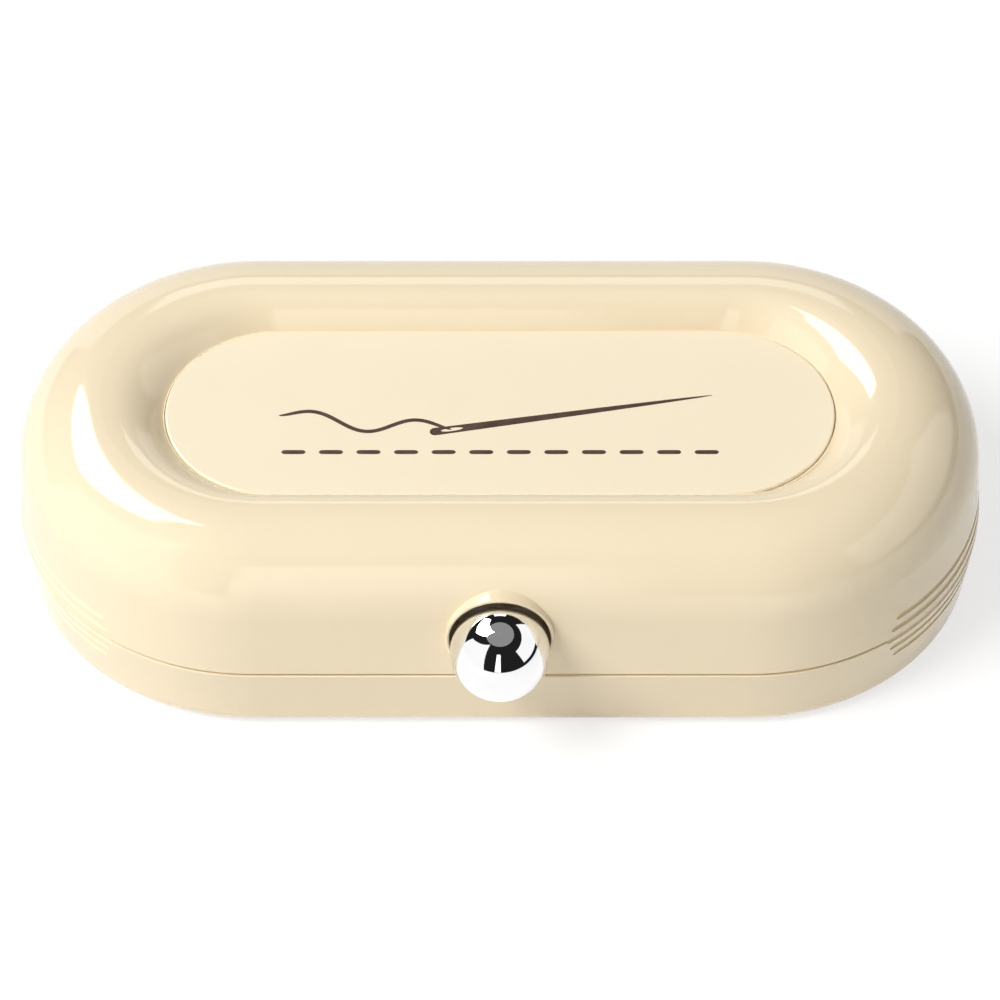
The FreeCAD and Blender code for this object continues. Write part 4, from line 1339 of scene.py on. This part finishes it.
@dataclass
class ThreadStand:
    """Six flanged spools on their pegs, wound with thread."""

    finishes: Finishes
    flange: float = 1.6 * MM
    core_radius: float = 5.0 * MM
    bore_radius: float = 3.1 * MM
    edge_radius: float = 0.45 * MM
    rim_width: float = 1.2 * MM
    recess: float = 0.45 * MM
    spool_steps: int = 120
    notch_depth: float = 1.0 * MM
    notch_turn: float = math.radians(270)
    notch_half_turn: float = math.radians(5)
    strand_radius: float = 0.225 * MM
    strand_sides: int = 7
    strand_pitch: float = 1.9
    strand_sink: float = 0.3
    turn_steps: int = 64
    winding_rows: int = 16
    bulge: float = 0.5 * MM

    def spool(self, index: int) -> None:
        """Turn one spool, with a recessed upper flange and a nick that holds the thread's end.

        Args:
            index: Number of the spool from the left.
        """
        room = Extent.of(f"spool_{index}")
        radius, height = room.size.x / 2, room.size.z
        hub = self.bore_radius + self.rim_width
        floor = height - self.recess
        outline = eased([
            (self.bore_radius, 0), (radius, 0), (radius, self.flange), (self.core_radius, self.flange),
            (self.core_radius, height - self.flange), (radius, height - self.flange), (radius, height),
            (radius - self.rim_width, height), (radius - self.rim_width - self.recess, floor),
            (hub + self.recess, floor), (hub, height), (self.bore_radius, height)], self.edge_radius)

        def nick(reach: float, level: float, turn: float) -> float:
            """Inward dent of the upper flange's rim.

            Args:
                reach: Radius of a point.
                level: Its height.
                turn: Its turn in radians.

            Returns:
                What its radius gains, 0 or less.
            """
            if reach < radius - self.notch_depth or level < height / 2:
                return 0.0
            off = (turn - self.notch_turn) / self.notch_half_turn
            return -self.notch_depth * math.exp(-off * off)

        mesh = turned(f"spool_{index}_body", outline, room.foot, self.spool_steps, nick)
        put(mesh, self.finishes.spool, f"spool_{index}", [f"spool_{index}"])

    def bulged(self, grower: Grower, geometry: Socket) -> Socket:
        """Geometry drawn in towards both ends.

        Args:
            grower: Tree to work in.
            geometry: Curve or mesh about the Z axis, from z = 0 up.

        Returns:
            The drawn-in geometry.
        """
        level = grower.add("ShaderNodeSeparateXYZ", {0: grower.place()}, "Z")
        share = grower.maths("DIVIDE", level, grower.given("Height"))
        off = grower.maths("MULTIPLY_ADD", share, 2.0, -1.0)
        loss = grower.maths("DIVIDE", grower.given("Bulge"), grower.given("Radius"))
        square = grower.maths("MULTIPLY", off, off)
        keep = grower.maths("SUBTRACT", 1.0, grower.maths("MULTIPLY", loss, square))
        place = grower.vectors("MULTIPLY", grower.place(), grower.vector(keep, keep, 1.0))
        return grower.add("GeometryNodeSetPosition", {"Geometry": geometry, "Position": place})

    def winder(self) -> Grower:
        """Make the tree that winds a strand in close turns, fullest at mid height, over a plain core.

        Returns:
            The tree.
        """
        grower = Grower("wound_thread", ["Radius", "Height", "Bulge", "Strand"])
        radius, height, strand = (grower.given(label) for label in ("Radius", "Height", "Strand"))
        turns = grower.maths("DIVIDE", height, grower.maths("MULTIPLY", strand, self.strand_pitch))
        spiral = grower.add("GeometryNodeCurveSpiral", {
            "Resolution": self.turn_steps, "Rotations": turns, "Height": height,
            "Start Radius": radius, "End Radius": radius})
        sink = grower.maths("MULTIPLY", strand, self.strand_sink)
        body = grower.add("GeometryNodeMeshCylinder", {
            "Vertices": self.turn_steps, "Side Segments": self.winding_rows, "Depth": height,
            "Radius": grower.maths("SUBTRACT", radius, sink)})
        lift = grower.vector(z=grower.maths("MULTIPLY", height, 0.5))
        body = grower.add("GeometryNodeTransform", {"Geometry": body, "Translation": lift})
        turns = grower.tube(self.bulged(grower, spiral), strand, self.strand_sides)
        return grower.end(grower.joined(self.bulged(grower, body), turns))

    def build(self) -> None:
        """Turn the spools and wind their thread."""
        winder = self.winder()
        for index, finish in enumerate(self.finishes.threads, start=1):
            self.spool(index)
            room = Extent.of(f"thread_{index}")
            mesh = winder.grow(f"thread_{index}_winding", {
                "Radius": room.size.x / 2 - self.strand_radius, "Bulge": self.bulge,
                "Height": room.size.z - 2 * self.strand_radius, "Strand": self.strand_radius}, finish)
            mesh.transform(Matrix.Translation(room.foot + Vector((0, 0, self.strand_radius))))
            put(mesh, finish, f"spool_{index}", [f"thread_{index}"])


@dataclass
class Thimble:
    """Thimble with a rolled rim, two engraved lines and staggered dimples."""

    finishes: Finishes
    wall: float = 0.8 * MM
    rim: float = 0.4 * MM
    rim_height: float = 1.2 * MM
    rim_steps: int = 8
    dome: float = 4.0 * MM
    tip_radius: float = 6.8 * MM
    row_step: float = 0.16 * MM
    dimple_pitch: float = 1.12 * MM
    dimple_radius: float = 0.5 * MM
    dimple_depth: float = 0.17 * MM
    ring_multiple: int = 6
    plain_band: float = 3.4 * MM
    line_places: Spot = (0.55, 0.75)
    line_depth: float = 0.1 * MM
    steps: int = 260

    def outer_rows(self, radius: float, height: float) -> Profile:
        """Points up the outside, close enough together to carry the dimples.

        Args:
            radius: Radius over the rolled rim.
            height: Height of the thimble.

        Returns:
            The points from the rim to the crown.
        """
        side = radius - self.rim
        half = self.rim_height / 2
        rows = [(side, 0.0)] + arc((side, half), (self.rim, half), -90, 90, self.rim_steps)
        shoulder = height - self.dome
        count = round((shoulder - self.rim_height) / self.row_step)
        for step in range(1, count + 1):
            share = step / count
            rows.append((side + (self.tip_radius - side) * share,
                         self.rim_height + (shoulder - self.rim_height) * share))
        sphere = (self.tip_radius ** 2 + self.dome ** 2) / (2 * self.dome)
        first = math.asin((sphere - self.dome) / sphere)
        count = round((math.pi / 2 - first) * sphere / self.row_step)
        rows += arc((0.0, height - sphere), (sphere, sphere), math.degrees(first), 90, count)
        rows[-1] = (0.0, height)
        return rows

    def dent(self, travel: float, reach: float, turn: float) -> float:
        """Depth of the dimples and engraved lines at a point of the outside.

        Args:
            travel: Way up the outside from the rim.
            reach: Radius there.
            turn: Turn about the axis, in radians.

        Returns:
            Depth below the plain surface.
        """
        depth = 0.0
        for place in self.line_places:
            off = (travel - self.plain_band * place) / self.row_step
            depth += self.line_depth * math.exp(-off * off)
        row = round((travel - self.plain_band) / self.dimple_pitch)
        if row < 1 or reach < self.dimple_radius:
            return depth
        multiples = round(math.tau * reach / self.dimple_pitch / self.ring_multiple)
        ring = max(1, multiples * self.ring_multiple)
        spot = turn / math.tau * ring + (row % 2) / 2
        across = (spot - round(spot)) * math.tau * reach / ring
        up = travel - self.plain_band - row * self.dimple_pitch
        far = (across * across + up * up) / self.dimple_radius ** 2
        return depth + self.dimple_depth * max(0.0, 1 - far)

    def build(self) -> None:
        """Turn the thimble with its dimples."""
        room = Extent.of("thimble")
        radius, height = room.size.x / 2, room.size.z
        rows = self.outer_rows(radius, height)
        travels = [0.0]
        for before, here in zip(rows, rows[1:]):
            travels.append(travels[-1] + math.dist(before, here))
        roof = height - self.dome - self.wall
        inside = [(0.0, roof), (self.tip_radius - self.wall, roof), (radius - self.rim - self.wall, 0.0)]
        travel_at = dict(zip(rows, travels))

        def dimpled(reach: float, level: float, turn: float) -> float:
            """Inward shift of a point, none inside the thimble."""
            travel = travel_at.get((reach, level))
            return 0.0 if travel is None else -self.dent(travel, reach, turn)

        mesh = turned("thimble_shell", rows + inside, room.foot, self.steps, dimpled)
        put(mesh, self.finishes.nickel, Body.BASE.value, ["thimble"])


@dataclass
class Pincushion:
    """Stuffed cushion of six gores, puffed up by cloth simulation, with sewn cords and beaded pins."""

    finishes: Finishes
    gores: int = 6
    slack: float = 1.5 * MM
    foot_share: float = 0.80
    waist_share: float = 0.38
    foot_steps: int = 6
    crown_steps: int = 12
    steps: int = 72
    voxel: float = 1.1 * MM
    pressure: float = 4.0
    bench_scale: float = 40.0
    frames: int = 20
    cap: float = 1.3 * MM
    seam_width: float = 0.9 * MM
    seam_depth: float = 0.5 * MM
    cord_radius: float = 0.28 * MM
    cord_sides: int = 8
    cord_rise: float = 0.3
    cord_low: float = -28.0
    cord_high: float = 89.7
    cord_steps: int = 36
    pin_count: int = 4
    pin_tilt: float = math.radians(24)
    pin_length: float = 17.0 * MM
    pin_radius: float = 0.35 * MM
    pin_points: int = 12
    pin_sides: int = 12
    point_start: float = 0.05
    point_slope: float = 6.0
    head_radius: float = 1.3 * MM
    head_segments: int = 28
    head_rings: int = 16
    tint_start: float = 0.01

    @cached_property
    def room(self) -> Extent:
        """Box of the cushion in the frame."""
        return Extent.of("pincushion")

    def apply(self, piece: bpy.types.Object, modifier: bpy.types.Modifier) -> None:
        """Turn a modifier's result into the piece's own mesh.

        Args:
            piece: Object with the modifier.
            modifier: Modifier to apply and remove.
        """
        mesh = result_of(piece)
        piece.modifiers.remove(modifier)
        spent = piece.data
        piece.data = mesh
        bpy.data.meshes.remove(spent)
        mesh.name = piece.name

    def blank(self) -> bpy.types.Object:
        """Sew the slack cushion, before it is stuffed.

        Returns:
            The cushion's object.
        """
        room = self.room
        radius = room.size.x / 2 - self.slack
        height = room.size.z - self.slack
        waist = room.size.z * self.waist_share
        foot = radius * self.foot_share
        outline = [(0.0, 0.0), (foot, 0.0)]
        outline += arc((foot, waist), (radius - foot, waist), -90, 0, self.foot_steps)
        outline += arc((0.0, waist), (radius, height - waist), 0, 90, self.crown_steps)
        outline[-1] = (0.0, height)
        name = "pincushion_cloth"
        cushion = added(name, turned(name, outline, room.foot, self.steps))
        remesh = cushion.modifiers.new("remesh", "REMESH")
        remesh.mode = "VOXEL"
        remesh.voxel_size = self.voxel
        self.apply(cushion, remesh)
        return cushion

    def from_seam(self, point: Vector) -> float:
        """Distance from the nearest gore seam.

        Args:
            point: Place on the cushion.

        Returns:
            The distance round the cushion's axis.
        """
        off = point - self.room.foot
        turn = math.atan2(off.y, off.x) / math.tau * self.gores
        return abs(turn - round(turn)) * math.tau / self.gores * math.hypot(off.x, off.y)

    def puff(self, cushion: bpy.types.Object) -> None:
        """Stuff the cushion: pressure lifts the gores while the seams and the foot hold.

        The cloth is worked at the size of a seat pad, where its stiffness and the pressure are in balance.

        Args:
            cushion: Slack cushion, changed in place.
        """
        foot_top = self.room.low.z + self.voxel
        sewn = cushion.vertex_groups.new(name="sewn")
        rest = [vertex.co.copy() for vertex in cushion.data.vertices]
        for index, point in enumerate(rest):
            held = point.z < foot_top or self.from_seam(point) < self.seam_width
            sewn.add([index], 1.0 if held else 0.0, "REPLACE")
        cushion.data.transform(Matrix.Scale(self.bench_scale, 4))
        cloth = cushion.modifiers.new("stuffing", "CLOTH")
        cloth.settings.use_pressure = True
        cloth.settings.uniform_pressure_force = self.pressure
        cloth.settings.vertex_group_mass = "sewn"
        cloth.settings.effector_weights.gravity = 0
        for number in range(1, self.frames + 1):
            bpy.context.scene.frame_set(number)
        graph = bpy.context.evaluated_depsgraph_get()
        moved = [vertex.co.copy() for vertex in cushion.evaluated_get(graph).data.vertices]
        cushion.modifiers.remove(cloth)
        bpy.context.scene.frame_set(1)
        highest = 0.0
        for vertex, start, end in zip(cushion.data.vertices, rest, moved):
            step = end / self.bench_scale - start
            highest = max(highest, step.length)
            if step.length > self.cap:
                step *= self.cap / step.length
            vertex.co = start + step
        LOG.info("stuffed the cushion, lifted %.2f mm at most before the cap", highest / MM)

    def settle(self, cushion: bpy.types.Object) -> None:
        """Draw the seams in, smooth the cloth once and keep it inside its cup.

        Args:
            cushion: Stuffed cushion, changed in place.
        """
        room = self.room
        for vertex in cushion.data.vertices:
            near = self.from_seam(vertex.co) / self.seam_width
            out = vertex.co - Vector((room.foot.x, room.foot.y, room.middle.z))
            vertex.co -= out.normalized() * (self.seam_depth * math.exp(-near * near))
        finer = cushion.modifiers.new("finer", "SUBSURF")
        finer.levels = 1
        finer.render_levels = 1
        self.apply(cushion, finer)
        limit = room.size.x / 2
        for vertex in cushion.data.vertices:
            off = Vector((vertex.co.x - room.foot.x, vertex.co.y - room.foot.y))
            if off.length > limit:
                off *= limit / off.length
                vertex.co.x, vertex.co.y = room.foot.x + off.x, room.foot.y + off.y
            vertex.co.z = min(max(vertex.co.z, room.low.z), room.high.z)
        closed(cushion.data)

    def seam_lines(self, cushion: bpy.types.Object) -> bpy.types.Mesh:
        """Lines down the seams, on the cloth.

        Args:
            cushion: Finished cushion.

        Returns:
            The lines as a mesh of edges.
        """
        room = self.room
        middle = Vector((room.foot.x, room.foot.y, room.low.z + room.size.z * self.waist_share))
        tree = BVHTree.FromPolygons([vertex.co.copy() for vertex in cushion.data.vertices],
                                    [tuple(face.vertices) for face in cushion.data.polygons])
        points: list[Point] = []
        edges = []
        for gore in range(self.gores):
            turn = math.tau * gore / self.gores
            first = len(points)
            for step in range(self.cord_steps + 1):
                share = step / self.cord_steps
                rise = math.radians(self.cord_low + (self.cord_high - self.cord_low) * share)
                way = Vector((math.cos(turn), math.sin(turn), math.tan(rise))).normalized()
                hit = tree.ray_cast(middle + way * room.size.x, -way)[0]
                points.append(tuple(hit + way * (self.cord_radius * self.cord_rise)))
            edges += [(index, index + 1) for index in range(first, len(points) - 1)]
        return mesh_of("pincushion_cords", points, edges)

    def cord_grower(self) -> Grower:
        """Tree that runs a cord along lines of edges."""
        grower = Grower("sewn_cord", ["Radius"])
        return grower.end(grower.tube(grower.edges(), grower.given("Radius"), self.cord_sides))

    def pin_grower(self) -> Grower:
        """Make the tree that sets beaded pins in a ring, leaning outward.

        Returns:
            The tree.
        """
        grower = Grower("beaded_pins", ["Ring", "Tilt", "Length", "Shaft", "Head"], ["Count"])
        top = grower.vector(z=grower.given("Length"))
        widening = grower.maths("MULTIPLY_ADD", grower.along(), self.point_slope, self.point_start)
        shaft = grower.tube(grower.line(top, self.pin_points), grower.given("Shaft"), self.pin_sides,
                            grower.maths("MINIMUM", widening, 1.0))
        bead = grower.add("GeometryNodeMeshUVSphere", {
            "Segments": self.head_segments, "Rings": self.head_rings, "Radius": grower.given("Head")})
        bead = grower.add("GeometryNodeTransform", {"Geometry": bead, "Translation": top})
        pin = grower.joined(grower.marked(shaft, "head", 0.0), grower.marked(bead, "head", 1.0))
        half_step = grower.vector(z=grower.maths("DIVIDE", math.pi, grower.given("Count")))
        ring = grower.add("GeometryNodeTransform",
                          {"Geometry": grower.ring("Count", "Ring"), "Rotation": half_step})
        outward = grower.vectors("NORMALIZE", grower.place())
        slope = grower.maths("TANGENT", grower.given("Tilt"))
        lean = grower.add("ShaderNodeVectorMath", {0: outward, "Scale": slope}, operation="SCALE")
        way = grower.vectors("ADD", lean, (0, 0, 1))
        turn = grower.add("FunctionNodeAlignRotationToVector", {"Vector": way}, axis="Z")
        stuck = grower.add("GeometryNodeInstanceOnPoints",
                           {"Points": ring, "Instance": pin, "Rotation": turn})
        share = grower.maths("DIVIDE", grower.add("GeometryNodeInputIndex"), grower.given("Count"))
        tint = grower.maths("ADD", share, self.tint_start)
        return grower.end(grower.marked(stuck, "tint", tint, "INSTANCE"))

    def stick_pins(self) -> None:
        """Stick the pins into the cushion."""
        room = Extent.of("pincushion_pins")
        reach = room.size.x / math.sqrt(2) - math.sqrt(2) * self.head_radius
        ring = reach - self.pin_length * math.sin(self.pin_tilt)
        pins = self.pin_grower().grow("pincushion_pins_beaded", {
            "Ring": ring, "Tilt": self.pin_tilt, "Length": self.pin_length, "Shaft": self.pin_radius,
            "Head": self.head_radius, "Count": self.pin_count}, self.finishes.pins)
        foot = room.high.z - self.head_radius - self.pin_length * math.cos(self.pin_tilt)
        pins.transform(Matrix.Translation((room.middle.x, room.middle.y, foot)))
        put(pins, self.finishes.pins, Body.BASE.value, ["pincushion_pins"])

    def build(self) -> None:
        """Make the cushion, its cords and its pins."""
        cushion = self.blank()
        self.puff(cushion)
        self.settle(cushion)
        cords = self.cord_grower().grow(
            "pincushion_cords", {"Radius": self.cord_radius}, self.finishes.sewing, self.seam_lines(cushion))
        cloth = cushion.data
        bpy.data.objects.remove(cushion)
        piece = put(cloth, self.finishes.cotton, Body.BASE.value, ["pincushion"])
        put(cords, self.finishes.sewing, Body.BASE.value)
        self.stick_pins()


@dataclass
class Notions:
    """Needles on the magnet and buttons in their cup."""

    finishes: Finishes
    needle_radius: float = 0.4 * MM
    needle_count: int = 5
    needle_points: int = 40
    needle_sides: int = 12
    point_share: float = 0.24
    point_rest: float = 0.1
    neck_start: float = 0.55
    neck_slope: float = 9.0
    eye_length: float = 3.4 * MM
    eye_overlap: float = 0.92
    eye_wire: float = 0.15 * MM
    eye_steps: int = 40
    eye_sides: int = 10
    button_count: int = 4
    button_holes: int = 4
    button_radius: float = 5.0 * MM
    button_steps: int = 72
    button_rim: float = 0.9 * MM
    button_dish: float = 0.6 * MM
    button_chamfer: float = 0.7 * MM
    button_slope: float = 0.4 * MM
    button_edge: float = 0.35 * MM
    button_turn: float = 0.37
    hole_radius: float = 0.6 * MM
    hole_ring: float = 1.3 * MM
    hole_sides: int = 24
    drill_reach: float = 4.0

    def needle_grower(self) -> Grower:
        """Make the tree that lays needles side by side, each with an open eye.

        Returns:
            The tree.
        """
        grower = Grower("laid_needles", ["Length", "Radius", "Eye", "Wire", "Point", "Pitch"], ["Count"])
        length, radius, eye, wire = (grower.given(label) for label in ("Length", "Radius", "Eye", "Wire"))
        start = grower.vector(grower.maths("MULTIPLY", eye, self.eye_overlap))
        line = grower.line(grower.vector(length), self.needle_points, start)
        left = grower.maths("SUBTRACT", 1.0, grower.along())
        point = grower.maths("MINIMUM", grower.maths("DIVIDE", left, grower.given("Point")), 1.0)
        tip = grower.maths("MULTIPLY_ADD", point, 1.0 - self.point_rest, self.point_rest)
        neck = grower.maths("MULTIPLY_ADD", grower.along(), self.neck_slope, self.neck_start)
        slim = grower.maths("MULTIPLY", tip, grower.maths("MINIMUM", neck, 1.0))
        shaft = grower.tube(line, radius, self.needle_sides, slim)
        loop = grower.add("GeometryNodeCurvePrimitiveCircle", {"Resolution": self.eye_steps, "Radius": 0.5})
        flat = grower.maths("MULTIPLY", grower.maths("SUBTRACT", radius, wire), 2.0)
        loop = grower.add("GeometryNodeTransform", {
            "Geometry": loop, "Scale": grower.vector(grower.maths("SUBTRACT", eye, wire), flat, 1.0),
            "Translation": grower.vector(grower.maths("MULTIPLY", eye, 0.5))})
        needle = grower.joined(shaft, grower.tube(loop, wire, self.eye_sides))
        first = grower.vector(y=grower.first_of_row())
        return grower.end(grower.row(needle, first, grower.vector(y=grower.given("Pitch"))))

    def button_grower(self) -> Grower:
        """Make the tree that bores one button and lays its copies in a ring.

        Returns:
            The tree.
        """
        sizes = ["Hole Radius", "Hole Ring", "Thickness", "Ring"]
        grower = Grower("bored_buttons", sizes, ["Holes", "Count"])
        drill = grower.add("GeometryNodeMeshCylinder", {
            "Vertices": self.hole_sides, "Radius": grower.given("Hole Radius"),
            "Depth": grower.maths("MULTIPLY", grower.given("Thickness"), self.drill_reach)})
        drills = grower.add("GeometryNodeInstanceOnPoints",
                            {"Points": grower.ring("Holes", "Hole Ring"), "Instance": drill})
        drills = grower.add("GeometryNodeRealizeInstances", {"Geometry": drills})
        bored = grower.add("GeometryNodeMeshBoolean", {"Mesh 1": grower.given("Geometry"), "Mesh 2": drills},
                           operation="DIFFERENCE", solver="EXACT")
        angle = grower.maths("MULTIPLY", grower.add("GeometryNodeInputIndex"), self.button_turn)
        turn = grower.add("FunctionNodeAxisAngleToRotation", {"Axis": (0, 0, 1), "Angle": angle})
        return grower.end(grower.add("GeometryNodeInstanceOnPoints", {
            "Points": grower.ring("Count", "Ring"), "Instance": bored, "Rotation": turn}))

    def button_blank(self, thickness: float) -> bpy.types.Mesh:
        """Button before its holes are bored, with a raised rim and a soft dish.

        Args:
            thickness: Thickness at the rim.

        Returns:
            The button at the origin.
        """
        radius, chamfer = self.button_radius, self.button_chamfer
        inner = radius - self.button_rim
        floor = thickness - self.button_dish
        corners = [(0.0, 0.0), (radius - chamfer, 0.0), (radius, chamfer), (radius, thickness),
                   (inner, thickness), (inner - self.button_slope, floor), (0.0, floor)]
        outline = eased(corners, self.button_edge)
        outline = [(0.0 if reach < AXIS_REACH else reach, level) for reach, level in outline]
        return turned("button_blank", outline, Vector((0, 0, 0)), self.button_steps)

    def build(self) -> None:
        """Lay the needles and the buttons."""
        room = Extent.of("needles")
        pitch = (room.size.y - 2 * self.needle_radius) / (self.needle_count - 1)
        needles = self.needle_grower().grow("needles_polished", {
            "Length": room.size.x, "Radius": self.needle_radius, "Eye": self.eye_length,
            "Wire": self.eye_wire, "Point": self.point_share, "Pitch": pitch,
            "Count": self.needle_count}, self.finishes.pins)
        needles.transform(Matrix.Translation((room.low.x, room.middle.y, room.middle.z)))
        put(needles, self.finishes.pins, Body.BASE.value, ["needles"])
        room = Extent.of("buttons")
        buttons = self.button_grower().grow("buttons_horn", {
            "Hole Radius": self.hole_radius, "Hole Ring": self.hole_ring, "Thickness": room.size.z,
            "Ring": room.size.x / 2 - self.button_radius, "Holes": self.button_holes,
            "Count": self.button_count}, self.finishes.horn, self.button_blank(room.size.z))
        buttons.transform(Matrix.Translation(room.foot))
        put(buttons, self.finishes.horn, Body.BASE.value, ["buttons"])


def write_sizes() -> None:
    """Update the view layer."""
    bpy.context.view_layer.update()


def main() -> None:
    """Build the studio and dress every piece of the box."""
    logging.basicConfig(level=logging.INFO, format="%(message)s")
    finishes = Finishes()
    Studio().build()
    for assembly in (Case, LidMotif, LatchSpring, ThreadStand, Thimble, Pincushion, Notions):
        LOG.info("building %s", assembly.__name__)
        assembly(finishes).build()
    write_sizes()


if __name__ == "__main__":
    main()
